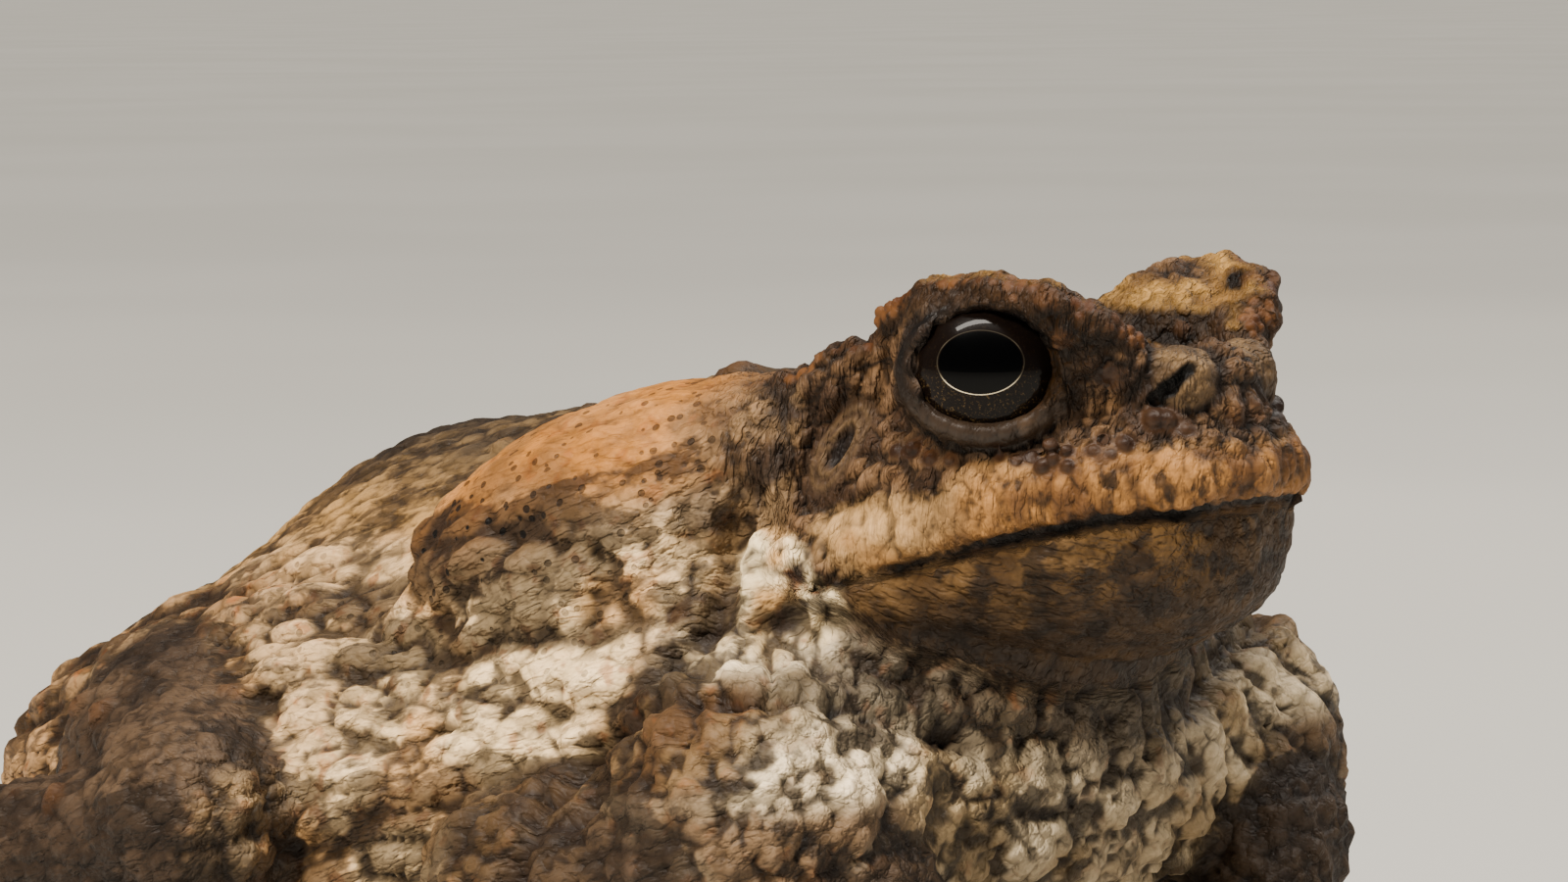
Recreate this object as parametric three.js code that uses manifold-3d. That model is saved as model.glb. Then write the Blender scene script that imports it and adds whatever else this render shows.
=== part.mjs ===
// A sitting cane toad, whole and life size, in millimetres.
// +Z is up, the toad looks along -Y, its left side is +X, and it rests on the plane z = 0.
// The flesh is described as a distance form: ellipsoids and ropes of round cones that melt together.
// Each node is a closed skin drawn round that form, then joined with its raised pieces, cut clear of
// its neighbours by GAP, and cut flat where it rests.
import * as THREE from "three";
import { mergeVertices } from "three/addons/utils/BufferGeometryUtils.js";
import Module from "manifold-3d";

const wasm = await Module();
wasm.setup();

// Driving dimensions, in millimetres
const GAP = 0.3;
const EYE_RADIUS = 7.0;
const EYE = [13.4, -49.6, 68.2];
const GAZE = [0.76, -0.645, 0.08];
const LID_THICKNESS = 1.2;
// The lids open as wide as an ellipsoid of these half-axes, its middle this far along the gaze
const EYE_OPENING = [6.3, 5.0, 5.2];
const OPENING_REACH = 6.5;
const NECK_Y = -29.0;
const THROAT_Z = 36.0;
const CHIN_Z = 41.3;
const CHIN_Y = -57.0;
const ORIGIN_Y = 5.4;

const V = (x, y, z) => new THREE.Vector3(x, y, z);
const at = (list) => list.map((p) => V(...p));

// Forms, each a function that gives the distance from a point to its surface

/** Smooth minimum: two surfaces melt together over the width k. */
function melt(a, b, k) {
  const h = THREE.MathUtils.clamp(0.5 + (0.5 * (b - a)) / k, 0, 1);
  return THREE.MathUtils.lerp(b, a, h) - k * h * (1 - h);
}

/** Ellipsoid with half-axes [across, along, up], its middle one lying along a direction. */
function ellipsoid(centre, radii, along = [0, 1, 0], up = [0, 0, 1]) {
  const origin = V(...centre);
  const y = V(...along).normalize();
  const x = V(...up).cross(y).normalize();
  const z = x.clone().cross(y);
  const q = V();
  return (p) => {
    q.subVectors(p, origin);
    const u = [q.dot(x) / radii[0], q.dot(y) / radii[1], q.dot(z) / radii[2]];
    const near = Math.hypot(...u);
    const slope = Math.hypot(u[0] / radii[0], u[1] / radii[1], u[2] / radii[2]) + 1e-9;
    return (near * (near - 1)) / slope;
  };
}

/** Round cone between two points, its radius running from ra to rb. */
function cone(a, b, ra, rb) {
  const [from, to] = at([a, b]);
  const line = to.clone().sub(from);
  const q = V();
  return (p) => {
    const t = THREE.MathUtils.clamp(q.subVectors(p, from).dot(line) / line.lengthSq(), 0, 1);
    return q.addScaledVector(line, -t).length() - THREE.MathUtils.lerp(ra, rb, t);
  };
}

/** Forms melted one after another: the first form, then pairs of form and melting width. */
const blend = (first, ...rest) => (p) => rest.reduce((d, [form, k]) => melt(d, form(p), k), first(p));

/** Rope of round cones through the points. */
function rope(points, radii, k = 2) {
  const cones = points.slice(1).map((b, i) => cone(points[i], b, radii[i], radii[i + 1]));
  return blend(cones[0], ...cones.slice(1).map((form) => [form, k]));
}

/** The same form on both sides of the middle plane. */
function bothSides(form) {
  const q = V();
  return (p) => form(q.set(Math.abs(p.x), p.y, p.z));
}

// The toad's masses. Paths and centres are on the left side, and each is used again mirrored

const LIP = [[0, -67, 59.2], [6, -65.2, 59.1], [11.2, -59.6, 58.7], [15.2, -52.6, 57.1], [17.6, -45, 54.4],
  [18.9, -38.2, 52.4]];
const LIP_RADII = [2.7, 2.8, 3, 3.1, 3.1, 3.2];
const LOWER_LIP = [[0, -65, 54.2], [6, -63, 54], [11.2, -57.8, 53.2], [15, -50.6, 51], [17.2, -44, 48.8]];
const MOUTH = [[0, -71.2, 57], [6.4, -69.2, 56.8], [13.4, -62, 56], [17.8, -54, 53.9], [20.4, -45.6, 51.2],
  [22, -37.4, 49]];
const BROW = [[16.2, -41.8, 72], [16.4, -46.5, 74], [15.6, -52, 74.8], [13.6, -56.8, 74], [11, -59.6, 72.2],
  [7.2, -60.4, 70]];
const BROW_RADII = [1.4, 1.6, 1.6, 1.6, 1.5, 1.2];
const BROW_PATH = [[12.8, -42.5, 70.5], [12, -50, 71.4], [9.4, -59.5, 70.4]];
const UPPER_LID = { centre: [10.2, -49.6, 68], radii: [7.6, 9, 6.2] };
const BROW_PLATE = { centre: [11.6, -51, 71.6], radii: [6.2, 8.2, 2.6], along: [0, 1, 0.02], up: [-0.3, 0, 1] };
const EAR_RIDGE = [[15.2, -41.5, 69.4], [17.2, -37, 67.8], [18.4, -32.5, 65]];
const EAR_RIDGE_RADII = [1.8, 1.9, 1.7];
const TEMPLE = [[13.6, -42.5, 66.5], [15.2, -37, 64.8], [16.8, -31.5, 61.5]];
const NOSE_RIDGE = [[4.8, -62.6, 66.6], [9.8, -58, 70.2]];
const CANTHUS = [[10.4, -60.2, 71.6], [8, -61.2, 70.6], [5.2, -61.8, 69.8]];
const NOSTRIL = { centre: [4.5, -63.6, 67.8], radii: [2.8, 3.2, 3] };
const NOSTRIL_SLIT = [[7.4, -64.5, 66.6], [6.4, -66.2, 68.3], [5, -67.2, 70.2]];
const EAR_DRUM = { from: [0, -36.8, 61.8], towards: [1, 0, 0], radius: 3.0, rim: 0.5, tall: 1.25 };
// Warts of the face: place and radius
const FACE_WARTS = [[9.4, -59.5, 68.6, 2.2], [7, -63.7, 64.2, 1.5], [9.9, -62.9, 62.7, 1.25],
  [13.3, -58.3, 62.7, 1.2], [15.2, -56, 61.8, 1], [12.1, -61.2, 62.4, 1], [18.8, -46.2, 61.7, 1.1]];
// Rows of beads: path, spacing, radius, and how far the beads stand off the path
const BEAD_ROWS = [
  { path: BROW, pitch: 2.8, radius: 0.95, lift: [0.75, -0.1, 0.85] },
  { path: EAR_RIDGE, pitch: 2.4, radius: 1.0, lift: [0.5, 0, 1.2] },
  { path: CANTHUS, pitch: 2.2, radius: 0.9, lift: [0.4, -0.2, 0.4] },
];
// Warts of the back: how many on each side, over what stretch of y, how far down in degrees from
// upright, and their radii
const BACK_WARTS = { count: 13, y: [-20, 50], lean: [10, 66], radii: [1.5, 2.6] };

const skull = blend(
  ellipsoid([0, -43, 58], [20.5, 22, 10.5]),
  [ellipsoid([0, -55.5, 61.5], [11.5, 12.7, 7.2]), 5],
  [ellipsoid([0, -45.5, 51.2], [17.5, 21.7, 9.5]), 4],
  [rope(LIP, LIP_RADII), 2],
  [rope(LOWER_LIP, [2.6, 2.6, 2.6, 2.6, 2.4]), 2],
  [rope(TEMPLE, [2.6, 2.6, 2.4]), 3],
  [rope(NOSE_RIDGE, [2.2, 2.6]), 2.5],
);

const trunk = blend(
  ellipsoid([0, -16, 38], [35, 30, 27]),
  [ellipsoid([0, 12, 25.6], [46, 47, 26]), 8],
  [ellipsoid([0, 14, 37.6], [25, 44, 22], [0, 1, -0.15]), 10],
  [ellipsoid([0, 31, 28.6], [14, 20, 26]), 8],
  [ellipsoid([24, 40, 21], [19, 26, 19]), 8],
  [ellipsoid([0, 44, 22], [24, 21.5, 18]), 8],
  [ellipsoid([0, -31, 30.5], [36, 22, 17]), 8],
  [ellipsoid([30, -38.5, 28], [13, 13, 14.5]), 6],
);

const body = bothSides(blend(skull, [trunk, 9]));

const PAROTOID = { centre: [24.6, -14.5, 56.6], radii: [9.4, 20, 5.6], along: [12.5, 34, -13.5], up: [0.62, 0, 0.78] };
const JAW_GLAND = { centre: [22.8, -34.4, 48.6], radii: [3.9, 4.2, 4.9] };
const JAW_LOBE = { centre: [22.6, -38.2, 47], radii: [2.4, 2.4, 2.8] };

const UPPER_ARM = [[17, -38, 29], [38, -18, 23.5]];
const FOREARM = [[39, -20, 21], [34.5, -37, 25.6], [27.5, -47, 22], [20.5, -53.5, 12.5]];
const THIGH_RADII = [15, 12.5, 8.6];
const THIGH = [[14, 50, 26], [34, 32, 26.5], [50, 13, 27]];
const SHANK = [[50, 12, 26], [51, 36, 18], [46, 58, 9.5]];
const ANKLE = [[46, 58, 7.6], [52, 36, 5.4]];

// Digits fan out from a pad: [angle from its heading in degrees, length, radius]
const HAND = {
  pad: [18.6, -57.6, 4.4], radii: [5.8, 7.2, 4.6], heading: [-0.3, -0.95], tilt: -0.35,
  digits: [[-46, 9.5, 2.0], [-17, 10, 1.9], [10, 13, 1.9], [40, 10.5, 1.9]],
};
const FOOT = {
  pad: [53, 31.5, 3.4], radii: [6.2, 8, 3.8], heading: [0.16, -0.987], tilt: -0.1,
  digits: [[44, 11, 1.9], [26, 16, 2.0], [9, 25, 2.1], [-6, 35, 2.2], [-22, 24, 2.1]],
  web: 0.55,
};
const DIGIT_TIP_Z = 1.2;
const WEB_THICKNESS = 1.2;

// Skins drawn round the forms

/** How far from the origin, along a direction, the form's distance first reaches the swell. */
function reach(form, origin, direction, swell) {
  const p = V();
  const value = (t) => form(p.copy(origin).addScaledVector(direction, t)) - swell;
  let near = 0;
  let far = 0.3;
  while (value(far) < 0 && far < 120) {
    near = far;
    far += Math.max(0.3, -0.6 * value(far));
  }
  for (let i = 0; i < 24; i += 1) {
    const middle = (near + far) / 2;
    if (value(middle) < 0) near = middle;
    else far = middle;
  }
  return far;
}

/**
 * Closed skin of a form around a path: rays square to the path at stations along it, and fans of
 * rays over both ends, each followed out to the form's surface.
 */
function skin(form, path, { along = 8, around = 10, ends = 3, swell = 0, up = V(0, 0, 1) } = {}) {
  const curve = new THREE.CatmullRomCurve3(at(path));
  const rings = [];
  for (let e = 1; e <= ends; e += 1) rings.push([0, (e / (ends + 1) - 1) * (Math.PI / 2)]);
  for (let s = 0; s <= along; s += 1) rings.push([s / along, 0]);
  for (let e = ends; e >= 1; e -= 1) rings.push([1, (1 - e / (ends + 1)) * (Math.PI / 2)]);
  const position = [];
  const cast = (origin, ray) => {
    const far = reach(form, origin, ray, swell);
    position.push(...origin.clone().addScaledVector(ray, far).toArray());
  };
  const station = (t) => {
    const forward = curve.getTangentAt(t);
    const side = forward.clone().cross(up).normalize();
    return { origin: curve.getPointAt(t), forward, side, top: side.clone().cross(forward) };
  };
  cast(curve.getPoint(0), station(0).forward.clone().negate());
  for (const [t, tilt] of rings) {
    const { origin, forward, side, top } = station(t);
    for (let a = 0; a < around; a += 1) {
      const turn = (a / around) * 2 * Math.PI;
      const ray = side.clone().multiplyScalar(Math.cos(turn)).addScaledVector(top, Math.sin(turn));
      ray.multiplyScalar(Math.cos(tilt)).addScaledVector(forward, Math.sin(tilt));
      cast(origin, ray);
    }
  }
  cast(curve.getPoint(1), station(1).forward);
  const last = position.length / 3 - 1;
  const index = [];
  for (let a = 0; a < around; a += 1) {
    const b = (a + 1) % around;
    // The quads are split the mirrored way on the far side, so that a middle piece is alike on both
    const farSide = Math.cos(((a + 0.5) / around) * 2 * Math.PI) < 0;
    index.push(0, 1 + a, 1 + b);
    for (let r = 0; r < rings.length - 1; r += 1) {
      const [lo, hi] = [1 + r * around, 1 + (r + 1) * around];
      if (farSide) index.push(lo + a, hi + a, hi + b, lo + a, hi + b, lo + b);
      else index.push(lo + a, hi + a, lo + b, lo + b, hi + a, hi + b);
    }
    const end = last - around;
    index.push(end + a, last, end + b);
  }
  const geometry = new THREE.BufferGeometry();
  geometry.setAttribute("position", new THREE.Float32BufferAttribute(position, 3));
  geometry.setIndex(index);
  return solid(geometry);
}

// Solids

/** A closed geometry as a solid that can be joined and cut. */
function solid(geometry) {
  const plain = geometry.clone();
  plain.deleteAttribute("normal");
  plain.deleteAttribute("uv");
  const merged = mergeVertices(plain, 1e-4);
  return new wasm.Manifold(new wasm.Mesh({
    numProp: 3,
    vertProperties: new Float32Array(merged.attributes.position.array),
    triVerts: new Uint32Array(merged.index.array),
  }));
}

/** The solid's largest closed surface. */
function largest(piece) {
  return piece.decompose().sort((a, b) => b.volume() - a.volume())[0];
}

/** The solid as a geometry again. */
function geometryOf(piece) {
  const mesh = largest(piece).getMesh();
  const geometry = new THREE.BufferGeometry();
  geometry.setAttribute("position", new THREE.Float32BufferAttribute(mesh.vertProperties, 3));
  geometry.setIndex([...mesh.triVerts]);
  return geometry;
}

/** The geometry on the other side of the middle plane, its faces still pointing out. */
function mirrored(geometry) {
  const other = geometry.clone().scale(-1, 1, 1);
  const index = other.index.array;
  for (let i = 0; i < index.length; i += 3) [index[i], index[i + 1]] = [index[i + 1], index[i]];
  return other;
}

const join = (...pieces) => pieces.reduce((a, b) => a.add(b));
const cut = (piece, ...tools) => tools.reduce((a, b) => a.subtract(b), piece);

/** Everything under the floor, or a lowered copy of it. */
const floor = solid(new THREE.BoxGeometry(400, 400, 60).translate(0, 0, -30));

/** A turned and stretched ball, with half-axes { radii: [across, along, up] } about a direction. */
function lump({ centre, radii, along = [0, 1, 0], up = [0, 0, 1] }, size = {}) {
  const lie = V(...along).normalize();
  const end = (t) => V(...centre).addScaledVector(lie, t * radii[1]).toArray();
  const detail = { along: 3, around: 12, ends: 3, up: V(...up), ...size };
  return skin(ellipsoid(centre, radii, along, up), [end(-0.4), end(0.4)], detail);
}

// Nodes

const nodes = [];

function node(name, piece, { colour, roughness = 0.6 }) {
  nodes.push([name, geometryOf(piece), colour, roughness]);
}

/** The same node on both sides, made on the left. */
function pair(name, piece, look) {
  const left = geometryOf(piece);
  nodes.push([`${name}_left`, left, look.colour, look.roughness ?? 0.6]);
  nodes.push([`${name}_right`, mirrored(left), look.colour, look.roughness ?? 0.6]);
}

/** The head's share of the body: ahead of the neck and above the throat, grown by a margin. */
function headRegion(margin) {
  const slope = (CHIN_Z - THROAT_Z) / (NECK_Y - CHIN_Y);
  const side = new THREE.Shape();
  side.moveTo(NECK_Y + margin, 100);
  side.lineTo(NECK_Y + margin, THROAT_Z - margin);
  side.lineTo(CHIN_Y, CHIN_Z - margin);
  side.lineTo(-90, CHIN_Z - margin + slope * (90 + CHIN_Y));
  side.lineTo(-90, 100);
  side.closePath();
  const width = 120;
  const wedge = new THREE.ExtrudeGeometry(side, { depth: width, bevelEnabled: false });
  // The outline's x and y become the toad's y and z, and its depth the toad's x
  wedge.applyMatrix4(new THREE.Matrix4().makeBasis(V(0, 1, 0), V(0, 0, 1), V(1, 0, 0)));
  return solid(wedge.translate(-width / 2, 0, 0));
}

const HEAD_PATH = [[0, -28, 55], [0, -42, 58], [0, -56, 58.5]];
const headSkin = (swell) => skin(body, HEAD_PATH, { along: 11, around: 28, ends: 5, swell });

const sides = [(p) => p, (p) => [-p[0], p[1], p[2]]];

/** The point where a level ray from the head's middle towards a point leaves the body. */
function onHead([x, y, z]) {
  const origin = V(0, -46, z);
  const ray = V(x, y + 46, 0).normalize();
  return origin.addScaledVector(ray, reach(body, origin, ray, 0)).toArray();
}

/** A wart or bead: a coarse ball, sunk to its middle in the skin. */
const bead = (centre, radius) => solid(new THREE.IcosahedronGeometry(radius, 0).translate(...centre));

/** Beads at even steps along a path, lifted off it. */
function beadRow({ path, pitch, radius, lift }, mirror) {
  const line = new THREE.CatmullRomCurve3(at(path));
  const count = Math.round(line.getLength() / pitch);
  return line.getSpacedPoints(count).map((p) => bead(mirror(p.add(V(...lift)).toArray()), radius));
}

/** Directions in the plane square to the gaze: towards the rear and up. */
function eyeAxes() {
  const out = V(...GAZE).normalize();
  const back = V(0, 0, 1).cross(out).normalize();
  return { out, back, top: out.clone().cross(back) };
}

/** The lower lid's margin: an arc on a ball just over the eye, wider than it is high. */
function lowerLid() {
  const { out, back, top } = eyeAxes();
  const [across, high, steps] = [66, 47, 8].map((v, i) => (i < 2 ? THREE.MathUtils.degToRad(v) : v));
  return Array.from({ length: steps + 1 }, (_, i) => {
    const t = Math.PI * (1 + i / steps);
    const side = back.clone().multiplyScalar(across * Math.cos(t)).addScaledVector(top, high * Math.sin(t));
    const open = side.length();
    return V(...EYE).addScaledVector(out, (EYE_RADIUS + 0.45) * Math.cos(open))
      .addScaledVector(side.normalize(), (EYE_RADIUS + 0.45) * Math.sin(open)).toArray();
  });
}

function headNode() {
  const raised = sides.flatMap((m) => {
    const lids = solid(new THREE.SphereGeometry(EYE_RADIUS + LID_THICKNESS, 16, 9)
      .rotateZ(Math.PI / 2).translate(...m(EYE)));
    const margin = lowerLid().map(m);
    const lower = skin(rope(margin, margin.map(() => 1.05), 0.3), margin, { along: 10, around: 5, ends: 1 });
    const plate = { ...BROW_PLATE, centre: m(BROW_PLATE.centre), up: m(BROW_PLATE.up) };
    const shelf = blend(
      ellipsoid(m(UPPER_LID.centre), UPPER_LID.radii),
      [ellipsoid(plate.centre, plate.radii, plate.along, plate.up), 2],
      [rope(BROW.map(m), BROW_RADII), 2],
    );
    const brow = skin(shelf, BROW_PATH.map(m), { along: 8, around: 14, ends: 2 });
    const ridge = skin(rope(EAR_RIDGE.map(m), EAR_RIDGE_RADII), EAR_RIDGE.map(m), { along: 4, around: 7, ends: 1 });
    const nostril = lump({ ...NOSTRIL, centre: m(NOSTRIL.centre) }, { along: 2, around: 10, ends: 2 });
    const gland = lump({ ...JAW_GLAND, centre: m(JAW_GLAND.centre) }, { along: 2, around: 10, ends: 2 });
    const lobe = lump({ ...JAW_LOBE, centre: m(JAW_LOBE.centre) }, { along: 2, around: 7, ends: 1 });
    const origin = V(...m(EAR_DRUM.from));
    const ray = V(...m(EAR_DRUM.towards)).normalize();
    const drum = origin.clone().addScaledVector(ray, reach(body, origin, ray, 0));
    const rim = solid(new THREE.TorusGeometry(EAR_DRUM.radius, EAR_DRUM.rim, 4, 14).scale(1, EAR_DRUM.tall, 1)
      .lookAt(ray).translate(...drum.toArray()));
    const beads = BEAD_ROWS.flatMap((row) => beadRow(row, m));
    const warts = FACE_WARTS.map(([x, y, z, radius]) => bead(m([x, y, z]), radius));
    return [lids, lower, brow, ridge, nostril, lobe, gland, rim, ...beads, ...warts];
  });
  const sunk = sides.flatMap((m) => {
    const gaze = m(GAZE);
    const socket = solid(new THREE.SphereGeometry(EYE_RADIUS + GAP, 14, 9).translate(...m(EYE)));
    const middle = V(...m(EYE)).addScaledVector(V(...gaze).normalize(), OPENING_REACH).toArray();
    const opening = lump({ centre: middle, radii: EYE_OPENING, along: gaze }, { along: 2, around: 14, ends: 2 });
    const slit = skin(rope(NOSTRIL_SLIT.map(m), [0.75, 0.7, 0.35]), NOSTRIL_SLIT.map(m),
      { along: 3, around: 5, ends: 1 });
    return [socket, opening, slit];
  });
  const line = [...MOUTH.slice(1).reverse().map(onHead), onHead(MOUTH[0]),
    ...MOUTH.slice(1).map(onHead).map(sides[1])];
  const groove = skin(rope(line, line.map(() => 0.8), 0.5), line, { along: 22, around: 5, ends: 1 });
  return cut(join(headSkin(0), ...raised), ...sunk, groove).intersect(headRegion(0));
}

/** Warts strewn over the back, each side with its own, placed by multiples of two odd numbers. */
function backWarts({ count, y, lean, radii }) {
  const between = ([low, high], share) => low + (high - low) * (share % 1);
  const gland = ellipsoid(PAROTOID.centre, PAROTOID.radii, PAROTOID.along, PAROTOID.up);
  const beside = bothSides(blend(gland, [rope(THIGH, THIGH_RADII), 1]));
  return Array.from({ length: 2 * count }, (_, i) => {
    const down = THREE.MathUtils.degToRad(between(lean, i * 0.5698403 + 0.5));
    const ray = V(Math.sin(down) * (i % 2 ? -1 : 1), 0, Math.cos(down));
    const origin = V(0, between(y, i * 0.7548777 + 0.5), 30);
    const radius = between(radii, i * 0.3819661);
    const centre = origin.addScaledVector(ray, reach(body, origin, ray, -0.35 * radius));
    return { centre, radius, clear: beside(centre) > radius + GAP };
  }).filter(({ clear }) => clear).map(({ centre, radius }) => bead(centre.toArray(), radius));
}

const HIDE = { colour: 0x8a6b4a };
const PALE = { colour: 0xb9a37e };
const GLAND_SKIN = { colour: 0xa8835a };
const EYE_LOOK = { colour: 0x120c08, roughness: 0.1 };

/** A limb's length as its own skin, and the same one grown by the gap to cut its neighbours with. */
function limb(path, radii, size) {
  const make = (swell) => skin(rope(path, radii, 4), path, { ...size, swell });
  return { plain: make(0), grown: make(GAP) };
}

/** A hand or foot: a pad, digits fanned out from it down to the floor, and webs between them. */
function paw({ pad, radii, heading, tilt, digits, web = 0 }, swell = 0) {
  const [x, y] = heading;
  const palm = lump({ centre: pad, radii, along: [x, y, tilt] }, { along: 2, around: 10, ends: 3, swell });
  const fingers = digits.map(([degrees, length, radius]) => {
    const turn = THREE.MathUtils.degToRad(degrees);
    const ray = V(x, y, 0).applyAxisAngle(V(0, 0, 1), turn);
    const reachOut = (t, z) => V(...pad).addScaledVector(ray, t).setZ(z).toArray();
    const start = 4;
    const path = [reachOut(start, pad[2] - 0.6), reachOut(start + length * 0.5, radius + 0.9),
      reachOut(start + length, DIGIT_TIP_Z)];
    const thick = [radius * 1.15, radius * 0.85, radius * 0.82];
    return { path, piece: skin(rope(path, thick, 1), path, { along: 3, around: 6, ends: 1, swell }) };
  });
  const webs = !web ? [] : fingers.slice(1).map((finger, i) => {
    const [inner, outer] = [fingers[i].path, finger.path];
    const tip = (path) => V(...path[0]).lerp(V(...path[2]), web);
    const [p, q] = [tip(inner), tip(outer)];
    const notch = p.clone().add(q).multiplyScalar(0.5).lerp(V(...pad), 0.22);
    const outline = new THREE.Shape();
    outline.moveTo(pad[0], pad[1]);
    outline.lineTo(p.x, p.y);
    outline.quadraticCurveTo(notch.x, notch.y, q.x, q.y);
    outline.closePath();
    const sheet = new THREE.ExtrudeGeometry(outline, { depth: WEB_THICKNESS, bevelEnabled: false, curveSegments: 5 });
    return solid(sheet.translate(0, 0, DIGIT_TIP_Z - WEB_THICKNESS / 2));
  });
  return join(palm, ...fingers.map((finger) => finger.piece), ...webs);
}

const TORSO_PATH = [[0, -30, 36], [0, -8, 34], [0, 22, 27], [0, 50, 23]];
const torsoSkin = (swell) => skin(body, TORSO_PATH, { along: 15, around: 28, ends: 6, swell });
const torsoGrown = torsoSkin(GAP);
const headGrown = headSkin(GAP);

const thigh = limb(THIGH, THIGH_RADII, { along: 5, around: 12 });
const shank = limb(SHANK, [8.2, 8.6, 5.2], { along: 5, around: 10 });
const ankle = limb(ANKLE, [5.2, 4.6], { along: 3, around: 8, ends: 2 });
const upperArm = limb(UPPER_ARM, [10, 8.8], { along: 4, around: 12 });
const forearm = limb(FOREARM, [8.2, 8.3, 7.2, 5], { along: 7, around: 10 });
const ridgeGrown = skin(rope(EAR_RIDGE, EAR_RIDGE_RADII), EAR_RIDGE, { along: 5, around: 8, ends: 2, swell: GAP });
const parotoid = lump(PAROTOID, { along: 5, around: 12, ends: 3 });

node("head", headNode(), HIDE);
node("torso", cut(join(torsoSkin(0), ...backWarts(BACK_WARTS)), headRegion(GAP), floor), PALE);
pair("eye", solid(new THREE.SphereGeometry(EYE_RADIUS, 16, 9).translate(...EYE)), EYE_LOOK);
pair("parotoid_gland", cut(parotoid, torsoGrown, headGrown, ridgeGrown), GLAND_SKIN);
pair("upper_arm", cut(upperArm.plain, torsoGrown), HIDE);
pair("forearm", cut(forearm.plain, torsoGrown, upperArm.grown), HIDE);
pair("hand", cut(paw(HAND), forearm.grown, torsoGrown, floor), HIDE);
pair("thigh", cut(thigh.plain, torsoGrown, floor), HIDE);
pair("shank", cut(shank.plain, torsoGrown, thigh.grown, floor), HIDE);
pair("ankle", cut(ankle.plain, torsoGrown, shank.grown, floor), HIDE);
pair("foot", cut(paw(FOOT), torsoGrown, thigh.grown, shank.grown, ankle.grown, floor), HIDE);

const toad = new THREE.Group();
toad.name = "cane_toad";
for (const [name, geometry, colour, roughness] of nodes) {
  const material = new THREE.MeshStandardMaterial({ color: colour, roughness, metalness: 0 });
  const mesh = new THREE.Mesh(geometry, material);
  mesh.name = name;
  mesh.position.y = ORIGIN_Y;
  toad.add(mesh);
}

export default toad;
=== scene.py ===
# A sitting cane toad, life size: one warty hide over the whole body, and two wet eyes.
# The hide is worked out as a distance form in millimetres, drawn as a mesh, refined where the relief
# is fine, pressed out into folds, grains and warts, and then written in metres.
import math

import bpy
import numpy as np
from mathutils import Matrix


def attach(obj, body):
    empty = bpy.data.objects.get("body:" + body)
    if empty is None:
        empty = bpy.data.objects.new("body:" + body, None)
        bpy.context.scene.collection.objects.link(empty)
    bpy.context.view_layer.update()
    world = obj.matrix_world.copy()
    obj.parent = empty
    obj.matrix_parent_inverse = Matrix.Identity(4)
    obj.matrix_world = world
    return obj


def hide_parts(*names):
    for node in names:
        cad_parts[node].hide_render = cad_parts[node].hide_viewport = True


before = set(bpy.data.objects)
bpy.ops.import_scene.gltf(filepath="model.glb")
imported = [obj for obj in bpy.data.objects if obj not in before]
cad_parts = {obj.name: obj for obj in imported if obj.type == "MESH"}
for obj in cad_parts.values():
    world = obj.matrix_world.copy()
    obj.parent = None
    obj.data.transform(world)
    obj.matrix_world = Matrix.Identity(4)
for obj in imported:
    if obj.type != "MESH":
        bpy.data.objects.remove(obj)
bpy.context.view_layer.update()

# Millimetres to metres, and the toad's own origin in the model's frame, in millimetres
MM = 0.001
ORIGIN = np.array([0.0, 5.4, 0.0])

# Camera: place in the toad's own millimetres, angles in degrees, focal length on a sensor 36 mm wide
CAMERA = np.array([-296.9, -304.0, 101.2])
CAMERA_AZIMUTH = -45.52
CAMERA_ELEVATION = 5.85
CAMERA_ROLL = -0.43
LENS = 103.5
SENSOR = 36

# Driving sizes, in millimetres, for the left side; the right side is their mirror image
EYE_RADIUS = 7.0
EYE = np.array([13.4, -49.6, 68.2])
GAZE = np.array([0.76, -0.645, 0.08])
# The hole in the lids: its half-axes, and how far out along the gaze its centre lies
EYE_OPENING = (6.3, 5.0, 5.2)
EYE_OPENING_OUT = 6.5
# The cornea's swelling as a share of the eye's radius, and its spread in radians
CORNEA_SWELL = 0.03
CORNEA_SPREAD = 0.7
# The pupil's middle off the gaze, and its half-axes, each rearwards and upwards
PUPIL_OFF = (0.25, 0.6)
PUPIL_HALF = (3.65, 2.7)
LID = 0.8
LIP = [[0, -67, 59.2], [6, -65.2, 59.1], [11.2, -59.6, 58.7], [15.2, -52.6, 57.1], [17.6, -45, 54.4],
       [18.9, -38.2, 52.4]]
LIP_RADII = [2.7, 2.8, 3.0, 3.1, 3.1, 3.2]
LOWER_LIP = [[0, -65, 54.2], [6, -63, 54], [11.2, -57.8, 53.2], [15, -50.6, 51], [17.2, -44, 48.8]]
LOWER_LIP_RADII = [2.6, 2.6, 2.6, 2.6, 2.4]
MOUTH = [[0, -71.2, 57], [6.4, -69.2, 56.8], [13.4, -62, 56], [17.8, -54, 53.9], [20.4, -45.6, 51.2],
         [22, -37.4, 49]]
MOUTH_RADIUS = 0.5
BROW = [[16.2, -41.8, 72], [16.4, -46.5, 74], [15.6, -52, 74.8], [13.6, -56.8, 74], [11, -59.6, 72.2],
        [7.2, -60.4, 70]]
BROW_RADII = [1.4, 1.6, 1.6, 1.6, 1.5, 1.2]
BROW_HEART = (9.5, -50.5)
BROW_BOX = ([2, -60, 60], [18, -40, 77])
SOCKET_BALL = dict(centre=[10.2, -49.6, 68], radii=[7.6, 9, 6.2])
LID_PLATE = dict(centre=[11.6, -51, 71.6], radii=[6.2, 8.2, 2.6], along=[0, 1, 0.02], up=[-0.3, 0, 1])
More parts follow.
